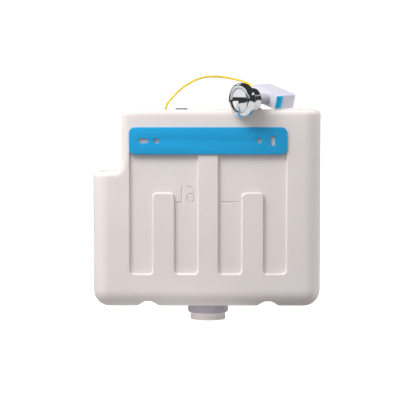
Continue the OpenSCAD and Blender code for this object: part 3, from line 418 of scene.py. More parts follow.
for side in (-1, 1):
    spigot, groove = side * SPIGOT_SIDE, side * GROOVE_SIDE
    carve(opening, block("socket", (spigot - SOCKET_HALF, -5, SPIGOT_LOW - SOCKET_GAP),
                         (spigot + SOCKET_HALF, SPIGOT_END + SOCKET_GAP, SPIGOT_HIGH + SOCKET_GAP)),
          "UNION")
    carve(opening, block("groove_roof", (groove - 21, 10, -5), (groove + 21, 132, 12)))
carve(tank, opening)

# The level mark is cut into the mould: a six, a letter for litres and a line, all seen from behind.
LEVEL_MARK = ([(-43.5, 202), (-43.5, 175), (-52.6, 175)],
              [(-36, 200.6), (-31.5, 201.6), (-27, 199.8), (-23.6, 195.6), (-22, 190), (-22, 182),
               (-23.4, 178), (-26, 175.6), (-29, 174.9), (-32, 175.9), (-34, 178.4), (-34.6, 182.4)],
              [(-34.6, 182.4), (-34, 186.4), (-32, 189), (-29, 190), (-26, 189.2), (-23.8, 187),
               (-22.4, 183.8)],
              [(19.7, 175.5), (50.4, 175.5)])
STROKE_WIDTH, STROKE_DEPTH, STROKE_STEP = 0.0032, 4.9, 3
for stroke in LEVEL_MARK:
    dense = [stroke[0]]
    for (x0, z0), (x1, z1) in zip(stroke, stroke[1:]):
        parts = max(1, round(math.hypot(x1 - x0, z1 - z0) / STROKE_STEP))
        dense += [(x0 + (x1 - x0) * k / parts, z0 + (z1 - z0) * k / parts) for k in range(1, parts + 1)]
    cutter = tube_line("stroke", [place(x, TANK_FRONT + STROKE_DEPTH, z) for x, z in dense], STROKE_WIDTH, 2)
    bpy.ops.object.select_all(action="DESELECT")
    cutter.select_set(True)
    bpy.context.view_layer.objects.active = cutter
    bpy.ops.object.convert(target="MESH")
    cutter = bpy.context.object
    merge_close(cutter, 0.00002)
    carve(tank, cutter)


def smooth(obj, degrees):
    """Shades a piece smooth, apart from edges that turn by more than this."""
    edit(obj)
    bpy.ops.object.shade_smooth_by_angle(angle=math.radians(degrees))


smooth(tank, 35)
apply_modifier(tank, "WEIGHTED_NORMAL", weight=80, keep_sharp=True)

# Blown polyethylene: satin, with faint clouds of colour, a fine skin and a low ripple left by the mould.
tank_plastic = finish("blown_polyethylene", "#e8dfdb", "#efe7e3", 71.43, 2.0, (0.10, 0.0003), 0.7143,
                      Roughness=0.48, IOR=1.54)
tank_nodes = tank_plastic.node_tree.nodes
ripple = add_node(tank_plastic, "ShaderNodeTexNoise", label="mould ripple", Scale=1000 / 6.25, Detail=2.0,
                  Vector=(tank_nodes["Texture Coordinate"], "Object"))
waves = add_node(tank_plastic, "ShaderNodeBump", Height=(ripple, "Fac"), Strength=0.06, Distance=0.001,
                 Normal=(tank_nodes["Bump"], "Normal"))
tank_plastic.node_tree.links.new(waves.outputs["Normal"], tank_nodes["Principled BSDF"].inputs["Normal"])
dress(tank, tank_plastic)
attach(tank, "root")
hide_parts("tank")


# Wall bracket: an injection-moulded blue strip that the wall screws hang the tank by. Two blind spigots
# on its back key it into the tank, and a slot beside each screw hole is there for levelling.
STRIP_HALF, STRIP_LOW, STRIP_HIGH, STRIP_THICK = 131, 255, 300, 3
SCREW_SIDE, SCREW_RADIUS = 85, 4.1
SLOT_SIDE, SLOT_LONG, SLOT_SHORT = 107, 16, 7
STRIP_EDGE, HAIR = 0.0007, 0.0001
strip_outline = rounded(corners(-STRIP_HALF, STRIP_LOW, STRIP_HALF, STRIP_HIGH), 10.0, 8)
bracket = outline_plate("wall_strip", strip_outline, 0, STRIP_THICK)
for x in (-SCREW_SIDE, SCREW_SIDE):
    carve(bracket, rod("screw_hole", SCREW_RADIUS, (x, -2, SCREW_HEIGHT), (x, 5, SCREW_HEIGHT), 40))
for x, wide, high in ((-SLOT_SIDE, SLOT_LONG, SLOT_SHORT), (SLOT_SIDE, SLOT_SHORT, SLOT_LONG)):
    slot = corners(x - wide / 2, SCREW_HEIGHT - high / 2, x + wide / 2, SCREW_HEIGHT + high / 2)
    carve(bracket, outline_plate("slot", rounded(slot, 1.5, 4), -2, 5))
round_edges(bracket, STRIP_EDGE, 3, lambda a, b: max(a.y, b.y) < HAIR)
for x in (-SPIGOT_SIDE, SPIGOT_SIDE):
    carve(bracket, block("spigot", (x - SPIGOT_HALF, STRIP_THICK - 1, SPIGOT_LOW),
                         (x + SPIGOT_HALF, SPIGOT_END, SPIGOT_HIGH)), "UNION")
smooth(bracket, 30)

# Moulded polypropylene, dyed blue: an even satin skin with a fine spark-eroded texture.
strip_plastic = finish("blue_polypropylene", "#0a9ed8", "#10a8e2", 45.45, 3.0, (0.08, 0.0002), 0.5556,
                       Roughness=0.42, IOR=1.49)
dress(bracket, strip_plastic)
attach(bracket, "root")
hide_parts("wall_bracket")


# Lid: a flat polyethylene plate let flush into the tank's top on a rubber frame, with a keyhole under
# each lock. Its upper edges are eased, so a fine line shows round it.
LOCK_LEFT, LOCK_RIGHT = -45, 81
LID_GAP, LID_THICK, LID_CORNER, LID_EASE = 0.3, 3.5, 0.004, 0.0009
STEM_HOLE, KEYHOLE_HALF, KEYHOLE_REACH, CUT_LOW, CUT_HIGH = 4.3, 3.8, 9.8, 320, 332
lid = block("lid_plate", (SEAT_LEFT + LID_GAP, SEAT_NEAR + LID_GAP, TANK_TOP - LID_THICK),
            (SEAT_RIGHT - LID_GAP, SEAT_FAR - LID_GAP, TANK_TOP))
round_edges(lid, LID_CORNER, 4, upright)
round_edges(lid, LID_EASE, 3, lambda a, b: min(a.z, b.z) > top_level - HAIR)
for x in (LOCK_LEFT, LOCK_RIGHT):
    carve(lid, rod("stem_hole", STEM_HOLE, (x, TANK_MIDDLE_Y, CUT_LOW), (x, TANK_MIDDLE_Y, CUT_HIGH), 40))
    carve(lid, block("keyhole", (x - KEYHOLE_HALF, TANK_MIDDLE_Y, CUT_LOW),
                     (x + KEYHOLE_HALF, TANK_MIDDLE_Y + KEYHOLE_REACH, CUT_HIGH)))
smooth(lid, 30)
dress(lid, tank_plastic)
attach(lid, "root")
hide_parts("tank_lid")

# Moulded rubber: matt black with a dusty bloom, for the lid's frame, the grommet and the washers.
seal_rubber = finish("black_epdm_rubber", "#262628", "#3a3a3d", 8.333, 4.0, (0.12, 0.0004),
                     Roughness=0.72, IOR=1.52)
for name in ("lid_gasket", "outlet_washer", "flush_seal", "inlet_washer"):
    dress(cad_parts[name], seal_rubber)


# Lid locks: two moulded quarter-turn studs. A low slotted head lies on the lid, and a tongue on the
# stem turns under the tank's rim. The left one is dark grey; the right one is painted near black, a
# painted shade for the shadow it lies in. Both are of glass-filled nylon: a dull skin with fine pale
# flecks of fibre.
HEAD_RADIUS, HEAD_HEIGHT, HEAD_EDGE, STEM_RADIUS = 10, 2, 0.0007, 4
DRIVER_REACH, DRIVER_HALF, DRIVER_FLOOR = 6, 1, 1
TONGUE_REACH, TONGUE_HALF, TONGUE_LOW, TONGUE_HIGH = 9.5, 3.5, 314.7, 318.7
# The right lock's near-black pair of shades is painted shade: the same nylon, darkened for the shadow it lies
# in.
for name, x, tongue, dark, light in (("lid_lock_left", LOCK_LEFT, -1, "#505156", "#6a6b70"),
                                     ("lid_lock_right", LOCK_RIGHT, 1, "#1f2023", "#303136")):
    foot, tip = sorted((x, x + TONGUE_REACH * tongue))
    lock = rod(name + "_stud", HEAD_RADIUS, (x, TANK_MIDDLE_Y, TANK_TOP),
               (x, TANK_MIDDLE_Y, TANK_TOP + HEAD_HEIGHT))
    round_edges(lock, HEAD_EDGE, 3, lambda a, b: min(a.z, b.z) > top_level + HEAD_HEIGHT / 1000 - HAIR)
    carve(lock, block("driver_slot", (x - DRIVER_REACH, TANK_MIDDLE_Y - DRIVER_HALF, TANK_TOP + DRIVER_FLOOR),
                      (x + DRIVER_REACH, TANK_MIDDLE_Y + DRIVER_HALF, TANK_TOP + 4)))
    stem = rod("stem", STEM_RADIUS, (x, TANK_MIDDLE_Y, TONGUE_LOW), (x, TANK_MIDDLE_Y, TANK_TOP + 0.5), 40)
    carve(lock, stem, "UNION")
    carve(lock, block("tongue", (foot, TANK_MIDDLE_Y - TONGUE_HALF, TONGUE_LOW),
                      (tip, TANK_MIDDLE_Y + TONGUE_HALF, TONGUE_HIGH)), "UNION")
    smooth(lock, 30)
    dress(lock, finish(name + "_nylon", dark, light, 2.381, 3.0, (0.1, 0.0003), Roughness=0.55, IOR=1.53))
    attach(lock, name)
    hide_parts(name)


# Cable grommet: a soft rubber ring snapped into the tank's top and flush with it. The cable rises
# through it, and its lower lip holds it under the plate.
def turned(name, outline, matrix, steps=72):
    """Spins a closed outline of (radius, height) points, in millimetres, round the axis of a frame."""
    count = len(outline)
    obj = raw_piece(name, [(r / 1000, 0, h / 1000) for r, h in outline],
                    [(i, (i + 1) % count) for i in range(count)], [])
    edit(obj)
    bpy.ops.object.mode_set(mode="EDIT")
    bpy.ops.mesh.select_all(action="SELECT")
    bpy.ops.mesh.spin(steps=steps, angle=math.tau, center=(0, 0, 0), axis=(0, 0, 1))
    bpy.ops.mesh.select_all(action="SELECT")
    bpy.ops.mesh.remove_doubles(threshold=0.000002)
    bpy.ops.mesh.select_all(action="SELECT")
    bpy.ops.mesh.normals_make_consistent(inside=False)
    bpy.ops.object.mode_set(mode="OBJECT")
    obj.matrix_world = matrix
    bpy.ops.object.transform_apply(location=True, rotation=True, scale=True)
    smooth(obj, 32)
    return obj


grommet_outline = [(2.05, -6.5), (6.2, -6.5), (6.5, -6.2), (6.5, -4.6), (6.2, -4.3), (5, -4.3), (5, -1.5),
                   (7.7, -1.5), (7.7, -0.6), (7.4, -0.15), (6.8, 0), (3.4, 0), (2.6, -0.3), (2.05, -1.0)]
grommet = turned("cable_grommet", grommet_outline,
                 Matrix.Translation(place(CABLE_ENTRY, TANK_MIDDLE_Y, TANK_TOP)), 48)
dress(grommet, seal_rubber)
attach(grommet, "root")
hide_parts("cable_gland")


# Outlet: a white polypropylene flange inside the tank with a threaded tail below it. The tail has a two
# inch pipe thread, 11 turns to the inch, for the flush pipe's coupling.
TAIL_RADIUS, TAIL_BORE, TAIL_TOOTH, TAIL_PITCH = 29.8, 25.0, 0.8, 2.309


def threaded(name, radius, depth, pitch, bottom, top, matrix, steps=64):
    """Solid screw thread along the axis of a frame, cut off square at both ends; sizes in millimetres."""
    root = radius - depth
    tooth = [(root, 0), (root, 0.12), (radius, 0.40), (radius, 0.60), (root, 0.88), (root, 1)]
    start = bottom - 1.5 * pitch
    obj = raw_piece(name, [(r / 1000, 0, (start + h * pitch) / 1000) for r, h in tooth],
                    [(i, i + 1) for i in range(len(tooth) - 1)], [])
    turns = math.ceil((top - bottom) / pitch) + 3
    apply_modifier(obj, "SCREW", axis="Z", angle=math.tau, screw_offset=pitch / 1000, iterations=turns,
                   steps=steps, render_steps=steps, use_merge_vertices=True, merge_threshold=0.000002)
    for level, below, above in ((bottom, True, False), (top, False, True)):
        edit(obj)
        bpy.ops.object.mode_set(mode="EDIT")
        bpy.ops.mesh.select_all(action="SELECT")
        bpy.ops.mesh.remove_doubles(threshold=0.000002)
        bpy.ops.mesh.select_all(action="SELECT")
        bpy.ops.mesh.bisect(plane_co=(0, 0, level / 1000), plane_no=(0, 0, 1), use_fill=True,
                            clear_inner=below, clear_outer=above)
        bpy.ops.mesh.select_all(action="SELECT")
        bpy.ops.mesh.normals_make_consistent(inside=False)
        bpy.ops.object.mode_set(mode="OBJECT")
    obj.matrix_world = matrix
    bpy.ops.object.transform_apply(location=True, rotation=True, scale=True)
    return obj


outlet_axis = Matrix.Translation(place(0, TANK_MIDDLE_Y, 0))
outlet = threaded("outlet_tail", TAIL_RADIUS, TAIL_TOOTH, TAIL_PITCH, -24.6, -14.2, outlet_axis)
lip_outline = [(TAIL_BORE, -26), (28.6, -26), (29.2, -25.4), (29.2, -24.4), (TAIL_BORE, -24.4)]
carve(outlet, turned("tail_lip", lip_outline, outlet_axis, 64), "UNION")
shank_outline = [(TAIL_BORE, -15), (29.4, -15), (29.4, 6.5), (38.6, 6.5), (39, 6.9), (39, 10.6), (38.6, 11),
                 (28, 11), (28, 14.6), (27.6, 15), (25.4, 15), (TAIL_BORE, 14.6)]
carve(outlet, turned("tail_shank", shank_outline, outlet_axis, 64), "UNION")
carve(outlet, rod("tail_bore", TAIL_BORE, (0, TANK_MIDDLE_Y, -30), (0, TANK_MIDDLE_Y, 20)))
smooth(outlet, 30)

# Moulded polypropylene left in its own milky white: smooth, with a soft shine.
outlet_plastic = finish("milky_polypropylene", "#ece4e1", "#f4edea", 22.22, 3.0, (0.05, 0.0005),
                        Roughness=0.4, IOR=1.49)
dress(outlet, outlet_plastic)
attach(outlet, "root")
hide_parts("outlet_body")


# Back nut: a light grey moulded ring on the tail, with twelve narrow grip ribs, that draws the outlet
# down on its washer.
RIB_COUNT, FIRST_RIB = 12, 21 - 90
GRIP_ROOT, GRIP_REACH, GRIP_HALF, GRIP_LOW, GRIP_HIGH, GRIP_EDGE = 32.0, 34.5, 1.5, -13.2, -1.2, 0.0008
nut_outline = [(30.1, -13.4), (30.7, -14), (32.6, -14), (33.4, -13.2), (33.5, -12.6), (33.5, -0.6), (33.1, 0),
               (30.7, 0), (30.1, -0.6)]
nut = turned("back_nut", nut_outline, outlet_axis, 96)
rib = block("rib", (GRIP_ROOT, TANK_MIDDLE_Y - GRIP_HALF, GRIP_LOW),
            (GRIP_REACH, TANK_MIDDLE_Y + GRIP_HALF, GRIP_HIGH))
round_edges(rib, GRIP_EDGE, 3, lambda a, b: min(a.x, b.x) > GRIP_REACH / 1000 - HAIR)
for turn in range(RIB_COUNT):
    grip = rib.copy()
    grip.data = rib.data.copy()
    bpy.context.scene.collection.objects.link(grip)
    angle = math.radians(FIRST_RIB + 360 / RIB_COUNT * turn)
    grip.data.transform(outlet_axis @ Matrix.Rotation(angle, 4, "Z") @ outlet_axis.inverted())
    carve(nut, grip, "UNION")
bpy.data.objects.remove(rib)
smooth(nut, 30)

# Moulded ABS, light grey: a little glossier than the tank, with faint flow marks.
nut_plastic = finish("pale_grey_abs", "#a6a0aa", "#b3adb7", 16.67, 3.0, (0.05, 0.0005),
                     Roughness=0.35, IOR=1.54)
dress(nut, nut_plastic)
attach(nut, "root")
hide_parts("outlet_back_nut")


# Inlet: a polypropylene bush in the wall of the notch, its half inch thread facing the supply pipe. A
# washer and a six-sided nut hold it from inside, and the fill valve sits on its shank.
INLET_RADIUS, INLET_TOOTH, INLET_PITCH = 10.3, 1.0, 1.814
inlet_axis = (Matrix.Translation(place(NOTCH_WALL, TANK_MIDDLE_Y, INLET_HEIGHT))
              @ Matrix.Rotation(math.pi / 2, 4, "Y"))
inlet_outline = [(10.6, 0), (17.2, 0), (18, 0.8), (18, 2.5), (13, 2.5), (13, 34.2), (4, 34.2), (4, 17),
                 (9.2, 17), (9.2, 1.4)]
inlet = turned("inlet_bush_turned", inlet_outline, inlet_axis)
carve(inlet, threaded("inlet_thread", INLET_RADIUS, INLET_TOOTH, INLET_PITCH, 0.5, 15, inlet_axis, 48))
smooth(inlet, 30)

# Moulded acetal for all that works in the water: clean white, waxy, with a weak sheen.
valve_plastic = finish("white_acetal", "#dcdcde", "#e8e8ea", 14.29, 3.0, (0.05, 0.0004),
                       Roughness=0.42, IOR=1.48)
dress(inlet, valve_plastic)
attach(inlet, "root")
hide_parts("inlet_bush")


# Inside the tank: the flush valve on the outlet and the fill valve on the inlet. The lid hides them, so
# the carried-over solids show, dressed in what each is made of.
for name in ("valve_cage", "overflow_piston", "piston_float", "lift_lever", "inlet_nut", "fill_valve_body",
             "silencer_tube", "float_cup"):
    dress(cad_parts[name], valve_plastic)

# The same acetal dyed blue, for the parts that are gripped to set the water level.
handle_plastic = finish("blue_acetal", "#2f7fb4", "#3b90c6", 14.29, 3.0, Roughness=0.42, IOR=1.48)
for name in ("fill_valve_cap", "float_lever"):
    dress(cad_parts[name], handle_plastic)

# Drawn stainless steel for wires, pins and the spring: bright, with a fine, uneven polish.
bright_steel = finish("drawn_stainless_steel", "#aeb1b6", "#c2c5ca", 1.111, 2.0, polish=(0.22, 0.38),
                      Metallic=1.0)
for name in ("lever_pin", "cable_stop", "pull_wire", "float_rod", "float_lever_pin", "rocker_pin",
             "rocker_spring", "cable_ferrule", "actuator_wire"):
    dress(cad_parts[name], bright_steel)
dress(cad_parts["cable_inner_run"], cable_sleeve)


# Button bezel: a full, domed ring of chromed ABS that covers the hole in the panel, with a shallow
# step inside it round the button. The button, its barrel and its box share one axis.
BUTTON_PLACE = place(55, -16, 344.5)
BUTTON_SWING, BUTTON_TIP, BUTTON_ROLL = (math.radians(a) for a in (-48.5, 93, -17))
DOME_RIDGE, DOME_WIDE, DOME_FOOT, DOME_HIGH = 20.6, 7.9, 1.2, 5.3
HEEL_RADIUS, HEEL_LEVEL, HEEL_ROUND = 25.5, -3.5, 3
button_axis = (Matrix.Translation(BUTTON_PLACE) @ Matrix.Rotation(BUTTON_SWING, 4, "Z")
               @ Matrix.Rotation(BUTTON_TIP, 4, "X") @ Matrix.Rotation(BUTTON_ROLL, 4, "Z"))
dome = [math.radians(a) for a in range(0, 91, 6)]
dome = [(DOME_RIDGE + DOME_WIDE * math.cos(a), DOME_FOOT + DOME_HIGH * math.sin(a)) for a in dome]
heel = [math.radians(a) for a in range(0, 91, 15)]
heel = [(HEEL_RADIUS + HEEL_ROUND * math.sin(a), HEEL_LEVEL - HEEL_ROUND * math.cos(a)) for a in heel]
step = [(20.2, 6.35), (19.9, 6.0), (19.8, 5.6), (19.8, -3.6), (17, -3.6)]
bezel = turned("bezel_dome", [(17, -6.5)] + heel + dome + step, button_axis, 128)

# Chrome plate on a polished moulding: a mirror, dulled a little here and there where it was wiped.
chrome = finish("chrome_plate", "#e2e4e6", "#eef0f2", 3.846, 3.0, polish=(0.03, 0.08), Metallic=1.0)
dress(bezel, chrome)
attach(bezel, "root")
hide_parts("button_bezel")


# Button: a slightly crowned chromed cap with a rounded edge. It slides in the barrel and pushes the
# white rod behind it.
CAP_RADIUS, CROWN_EDGE, CROWN_LOW, CROWN_RISE, CROWN_STEPS = 19.4, 18.7, 4.6, 2.4, 12
crown = []
for k in range(CROWN_STEPS + 1):
    reach = CROWN_EDGE * (1 - k / CROWN_STEPS)
    crown.append((reach, CROWN_LOW + CROWN_RISE * (1 - (reach / CAP_RADIUS) ** 2)))
cap_outline = [(0, -3), (6, -3), (6, 2.1), (15, 2.1), (15, -3), (16.6, -3), (16.6, 2.9), (19.3, 2.9),
               (CAP_RADIUS, 3.0), (CAP_RADIUS, 3.9), (19.2, 4.5)]
button = turned("button_cap", cap_outline + crown, button_axis, 128)
dress(button, chrome)
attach(button, "button")
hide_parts("push_button")
dress(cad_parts["push_rod"], valve_plastic)


# Barrel and clamp nut: a chromed tube with a coarse thread that goes through the panel, closed at the
# back by a tapered nut that holds the neck.
BARREL_RADIUS, BARREL_BORE, BARREL_TOOTH, BARREL_PITCH = 19, 17, 0.9, 3.0
barrel = threaded("barrel_thread", BARREL_RADIUS, BARREL_TOOTH, BARREL_PITCH, -24, -7.6, button_axis, 72)
root_outline = [(BARREL_BORE, -9), (18.3, -9), (18.3, -6.5), (BARREL_BORE, -6.5)]
carve(barrel, turned("barrel_root", root_outline, button_axis), "UNION")
BORE_LOW, BORE_HIGH = -30, 5
bpy.ops.object.select_all(action="DESELECT")
bpy.ops.mesh.primitive_cylinder_add(vertices=72, radius=BARREL_BORE / 1000,
                                    depth=(BORE_HIGH - BORE_LOW) / 1000)
bore = bpy.context.object
bore.matrix_world = button_axis @ Matrix.Translation((0, 0, (BORE_LOW + BORE_HIGH) / 2000))
bpy.ops.object.transform_apply(location=True, rotation=True, scale=True)
carve(barrel, bore)
smooth(barrel, 40)
dress(barrel, chrome)
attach(barrel, "root")
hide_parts("button_barrel")

clamp_outline = [(8.8, -20), (16.7, -20), (16.7, -24), (18.5, -24), (19, -24.5), (19, -26.5), (18.6, -27.2),
                 (12.2, -32.4), (11.3, -33), (9.2, -33), (8.8, -32.6)]
clamp = turned("clamp_cone", clamp_outline, button_axis)
dress(clamp, chrome)
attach(clamp, "root")
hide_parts("clamp_nut")


# Neck: a moulded tube between the barrel and the box, which guides the push rod, painted a pale grey
# that is partly painted shade from the bezel on white plastic. The clamp nut holds its flange against the
# barrel.
neck_outline = [(3.3, -56), (8.5, -56), (8.5, -20), (16.7, -20), (16.7, -17.4), (16.3, -17), (3.3, -17)]
neck = turned("neck_tube", neck_outline, button_axis, 64)

# Moulded white ABS, painted a cool pale grey as painted shade from the bezel: soft shine with faint flow
# marks.
neck_plastic = finish("grey_painted_shade_abs", "#c2c1ca", "#d0cfd7", 11.11, 3.0, Roughness=0.38, IOR=1.54)
dress(neck, neck_plastic)
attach(neck, "root")
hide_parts("guide_neck")


# Actuator box: a white moulded case with rounded edges, closed by a flat cover that four small screws
# hold. Inside, a rocker turns the button's push into a pull on the cable. Its pieces are modelled in the
# button's own frame, in which the axis is z, and then carried to their place.
BOX_LEFT, BOX_RIGHT, BOX_FAR, BOX_NEAR = -41, 24, -100, -56
BOX_FACE, COVER_SEAM, BOX_WALL = 11.75, -9.55, 2.2
BOX_CORNER, BOX_EDGE, COVER_EDGE = 0.003, 0.0016, 0.0009
BOSS_RADIUS, PILOT_RADIUS, SCREW_SEAT, SCREW_PASS = 2.9, 1.1, 3.1, 1.4
ROD_HOLE, CABLE_HOLE = 3.3, 2.05
BOX_SCREWS = ((-35, -60), (-35, -95), (18, -95), (12, -60))


def button_block(name, low, high):
    """Cube primitive between two corners in the button's own frame, in millimetres."""
    low, high = Vector(low) / 1000, Vector(high) / 1000
    bpy.ops.object.select_all(action="DESELECT")
    bpy.ops.mesh.primitive_cube_add(size=1, location=(low + high) / 2)
    made = bpy.context.object
    made.name = name
    made.scale = high - low
    bpy.ops.object.transform_apply(location=True, rotation=True, scale=True)
    return made


def button_peg(radius, depth, where, turn=(math.pi / 2, 0, 0)):
    """Cylinder primitive in that frame, in millimetres, upright on the box's face unless turned."""
    bpy.ops.object.select_all(action="DESELECT")
    bpy.ops.mesh.primitive_cylinder_add(vertices=32, radius=radius / 1000, depth=depth / 1000,
                                        location=[v / 1000 for v in where], rotation=turn)
    return bpy.context.object


def to_button(obj):
    """Carries a piece modelled in the button's own frame to its place."""
    edit(obj)
    obj.matrix_world = button_axis
    bpy.ops.object.transform_apply(location=True, rotation=True, scale=True)
    smooth(obj, 32)


case = button_block("actuator_case", (BOX_LEFT, COVER_SEAM, BOX_FAR), (BOX_RIGHT, BOX_FACE, BOX_NEAR))
face_level = BOX_FACE / 1000 - HAIR
round_edges(case, BOX_CORNER, 5, lambda a, b: abs(a.y - b.y) > NEAR)
round_edges(case, BOX_EDGE, 4, lambda a, b: min(a.y, b.y) > face_level)
carve(case, button_block("case_inside", (BOX_LEFT + BOX_WALL, -12, BOX_FAR + BOX_WALL),
                         (BOX_RIGHT - BOX_WALL, BOX_FACE - BOX_WALL, BOX_NEAR - BOX_WALL)))
for x, z in BOX_SCREWS:
    carve(case, button_peg(BOSS_RADIUS, 19.5, (x, 0.2, z)), "UNION")
    carve(case, button_peg(PILOT_RADIUS, 20, (x, -9.6, z)))
carve(case, button_peg(ROD_HOLE, 6, (0, 0, -57.1), (0, 0, 0)))
carve(case, button_peg(CABLE_HOLE, 6, (-40, 7, -66), (0, math.pi / 2, 0)))
carve(case, button_block("slide_opening", (20, -5, -64), (26, 7.5, -60)))
to_button(case)

# Moulded ABS, white with a hint of violet: satin, with a fine spark-eroded grain.
case_plastic = finish("white_abs", "#d2d0dd", "#d9d7e3", 20.0, 3.0, (0.08, 0.0002), 0.625,
                      Roughness=0.45, IOR=1.54)
dress(case, case_plastic)
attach(case, "root")
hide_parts("actuator_housing")
dress(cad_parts["rocker"], case_plastic)

cover = button_block("actuator_lid", (BOX_LEFT, -BOX_FACE, BOX_FAR), (BOX_RIGHT, COVER_SEAM, BOX_NEAR))
round_edges(cover, BOX_CORNER, 5, lambda a, b: abs(a.y - b.y) > NEAR)
round_edges(cover, COVER_EDGE, 3, lambda a, b: max(a.y, b.y) < -face_level)
for x, z in BOX_SCREWS:
    carve(cover, button_peg(SCREW_SEAT, 3.4, (x, -12.05, z)))
    carve(cover, button_peg(SCREW_PASS, 20, (x, -10.5, z)))
to_button(cover)
dress(cover, case_plastic)
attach(cover, "root")
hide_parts("actuator_cover")

# One small pan-head screw with a cross recess, copied to the cover's four corners.
screw_outline = [(0, 0), (1.9, 0), (2.5, 0.2), (2.8, 0.6), (2.8, 1.4), (1.0, 1.4), (1.0, 11.6), (0.6, 12.1),
                 (0, 12.1)]
screws = turned("cover_screw", screw_outline, Matrix.Identity(4), 32)
for wide, high in ((2.8, 0.6), (0.6, 2.8)):
    carve(screws, button_block("cross", (-wide / 2, -high / 2, -1), (wide / 2, high / 2, 0.8)))
one_screw = screws.data.copy()
for i, (x, z) in enumerate(BOX_SCREWS):
    seat = Matrix.Translation((x / 1000, -BOX_FACE / 1000, z / 1000)) @ Matrix.Rotation(-math.pi / 2, 4, "X")
    if i == 0:
        screws.data.transform(seat)
        continue
    more = bpy.data.objects.new("screw_copy", one_screw.copy())
    bpy.context.scene.collection.objects.link(more)
    more.data.transform(seat)
    edit(screws)
    more.select_set(True)
    bpy.ops.object.join()
to_button(screws)
dress(screws, bright_steel)
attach(screws, "root")
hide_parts("cover_screws")


# Lock slide: a small bulged blue clip on the corner of the box, ribbed for the thumb. It slides along
# the box to lock the cover.
CLIP_FOOT, CLIP_NEAR, CLIP_LONG, CLIP_LOW, CLIP_HIGH = 24.3, -69, 14, -9.05, 11.45
CLIP_BACK, CLIP_BULGE, CLIP_EDGE = 25.2, 1.8, 0.0007
THUMB_GROOVES, THUMB_STEP, THUMB_CUT = 6, 2.0, 0.7


def clip_back(z):
    """Distance of the clip's bulged back from the button's axis, at a place along the clip."""
    half = CLIP_LONG / 2
    return CLIP_BACK + CLIP_BULGE * (1 - ((z - CLIP_NEAR - half) / half) ** 2)


clip_side = [(clip_back(CLIP_NEAR + k), CLIP_NEAR + k) for k in range(CLIP_LONG + 1)]
clip_side = [(CLIP_FOOT, CLIP_NEAR)] + clip_side + [(CLIP_FOOT, CLIP_NEAR + CLIP_LONG)]
slide = outline_plate("slide_clip", [(x, z + SCREW_HEIGHT) for x, z in clip_side], CLIP_LOW, CLIP_HIGH)
back_level = CLIP_BACK / 1000 - HAIR
round_edges(slide, CLIP_EDGE, 3, lambda a, b: abs(a.y - b.y) < HAIR and min(a.x, b.x) > back_level)
for k in range(THUMB_GROOVES):
    z = CLIP_NEAR + (k + 1) * THUMB_STEP
    low = (clip_back(z) - THUMB_CUT, -7.6, z - THUMB_CUT / 2)
    carve(slide, button_block("thumb_groove", low, (29, 10.0, z + THUMB_CUT / 2)))
carve(slide, button_block("slide_stem", (21.3, -1, -63.7), (24.8, 7.2, -60.3)), "UNION")
carve(slide, button_block("slide_catch", (19.5, -3, -65.4), (21.5, 9.2, -58.6)), "UNION")
to_button(slide)

# Moulded acetal, strong blue: smooth and fairly glossy, with faint flow marks.
slide_plastic = finish("deep_blue_acetal", "#08bfe8", "#10cdf6", 6.25, 3.0, Roughness=0.34, IOR=1.48)
dress(slide, slide_plastic)
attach(slide, "lock_slide")
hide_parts("lock_slide")


# Stage: a plain pale floor in a pale room, white behind the tank, with soft light from the upper left.
# Studio cards that only mirrors can see give the chrome its black and white patches.
FLOOR_SIZE, FLOOR_HEIGHT = 60, -26.4
bpy.ops.object.select_all(action="DESELECT")
bpy.ops.mesh.primitive_plane_add(size=FLOOR_SIZE, location=place(0, 0, FLOOR_HEIGHT))
floor = bpy.context.object
floor.name = "floor"
floor_paint = finish("pale_floor", "#f2f2f2", "#f6f6f6", 333.3, 2.0, Roughness=0.9,
                     **{"Emission Color": (1, 1, 1, 1), "Emission Strength": 0.75})
dress(floor, floor_paint)
floor.visible_diffuse = floor.visible_glossy = False

world = bpy.data.worlds.new("pale_room")
bpy.context.scene.world = world
world.use_nodes = True
direction = add_node(world, "ShaderNodeTexCoord")
split = add_node(world, "ShaderNodeSeparateXYZ", Vector=(direction, "Generated"))
raised = add_node(world, "ShaderNodeMapRange", Value=(split, "Z"), From_Min=-1.0, From_Max=1.0)
room = add_node(world, "ShaderNodeValToRGB", Fac=(raised, "Result"))
ROOM_SHADES = ((0.30, (0.26, 0.245, 0.24, 1)), (0.70, (0.64, 0.64, 0.66, 1)))
for stop, (height, shade) in zip(room.color_ramp.elements, ROOM_SHADES):
    stop.position, stop.color = height, shade
behind = add_node(world, "ShaderNodeMapRange", Value=(split, "Y"), From_Min=0.80, From_Max=0.90)
mixed = add_node(world, "ShaderNodeMixRGB", Fac=(behind, "Result"), Color1=(room, "Color"),
                 Color2=(1.05, 1.05, 1.05, 1))
background = world.node_tree.nodes["Background"]
world.node_tree.links.new(mixed.outputs["Color"], background.inputs["Color"])
background.inputs["Strength"].default_value = 1.0


def softbox(name, where, size, power, tint=(1, 1, 1), aim=(0, 0.05, -0.05), spread=180):
    """Square lamp turned towards a point, which neither the camera nor a mirror sees."""
    bpy.ops.object.select_all(action="DESELECT")
    bpy.ops.object.light_add(type="AREA", location=where)
    lamp = bpy.context.object
    lamp.name = name
    lamp.data.size = size
    lamp.data.energy = power
    lamp.data.color = tint
    lamp.data.spread = math.radians(spread)
    lamp.rotation_euler = (Vector(aim) - Vector(where)).to_track_quat("-Z", "Y").to_euler()
    lamp.visible_camera = lamp.visible_glossy = False


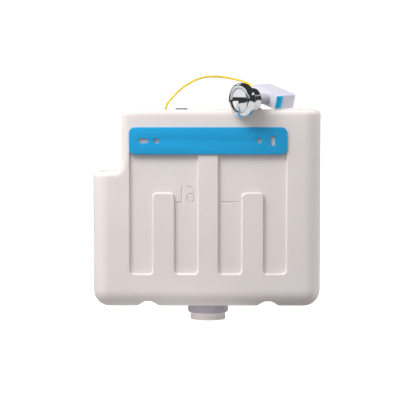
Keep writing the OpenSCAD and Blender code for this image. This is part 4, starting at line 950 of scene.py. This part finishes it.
softbox("key", (-1.5, -1.1, 1.5), 1.0, 25.0)
softbox("overhead", (-0.45, -0.55, 1.0), 0.7, 8.5)
softbox("right_fill", (2.3, 0.4, 0.75), 1.1, 23.0, (0.93, 0.97, 1.0))
softbox("left_fill", (-1.6, -0.4, -0.05), 0.5, 1.6, (0.95, 0.98, 1.0))
softbox("floor_bounce", (-0.06, 0.12, -0.296), 0.26, 0.07, (1, 1, 1), (-0.06, 0.12, 1))
softbox("tail_light", (-0.6, -0.55, -0.26), 0.07, 0.018, (1, 1, 1), (0.0, 0.04, -0.33), 14)


def card(name, middle, wide, high, grey, aim=(0.06, 0, 0.06)):
    """Studio card that only mirrors can see, so it lights nothing."""
    bpy.ops.object.select_all(action="DESELECT")
    bpy.ops.mesh.primitive_plane_add(size=1, location=middle)
    made = bpy.context.object
    made.name = name
    made.scale = (wide, high, 1)
    made.rotation_euler = (Vector(aim) - Vector(middle)).to_track_quat("Z", "Y").to_euler()
    paint, shader = new_material(name + "_paint")
    spot = add_node(paint, "ShaderNodeTexCoord")
    fade = add_node(paint, "ShaderNodeTexNoise", Vector=(spot, "Object"), Scale=2.0)
    glow = add_node(paint, "ShaderNodeMapRange", Value=(fade, "Fac"), To_Min=grey * 0.95, To_Max=grey * 1.05)
    paint.node_tree.links.new(glow.outputs["Result"], shader.inputs["Emission Strength"])
    shader.inputs["Emission Color"].default_value = (1, 1, 1, 1)
    shader.inputs["Base Color"].default_value = (0, 0, 0, 1)
    shader.inputs["Specular IOR Level"].default_value = 0.0
    dress(made, paint)
    made.visible_camera = made.visible_diffuse = made.visible_shadow = False


card("floor_card", (0, -0.3, -0.3035), 4.4, 4.4, 0.80, (0, -0.3, 1))
card("left_wall", (-4.0, 0.3, 0.95), 4.0, 1.6, 0.92)
card("window", (-2.9, -2.3, 0.40), 0.8, 0.7, 1.0)
card("high_card", (-1.9, 1.5, 2.1), 1.5, 1.2, 1.0)
card("backdrop", (-1.0, 4.6, 0.6), 6.0, 2.4, 0.42)
card("right_card", (2.2, 0.13, 1.30), 1.6, 0.36, 1.0)
for name, middle, wide, high in (("dark_front", (0, -5.0, 1.5), 14, 8), ("dark_right", (5.5, 0, 1.5), 14, 8),
                                 ("dark_left", (-5.5, 0, 1.5), 14, 8), ("dark_back", (0, 5.5, 1.5), 14, 8),
                                 ("dark_top", (0, 0.01, 5.0), 12, 12)):
    card(name, middle, wide, high, 0.04)
bpy.context.scene.view_settings.view_transform = "Standard"
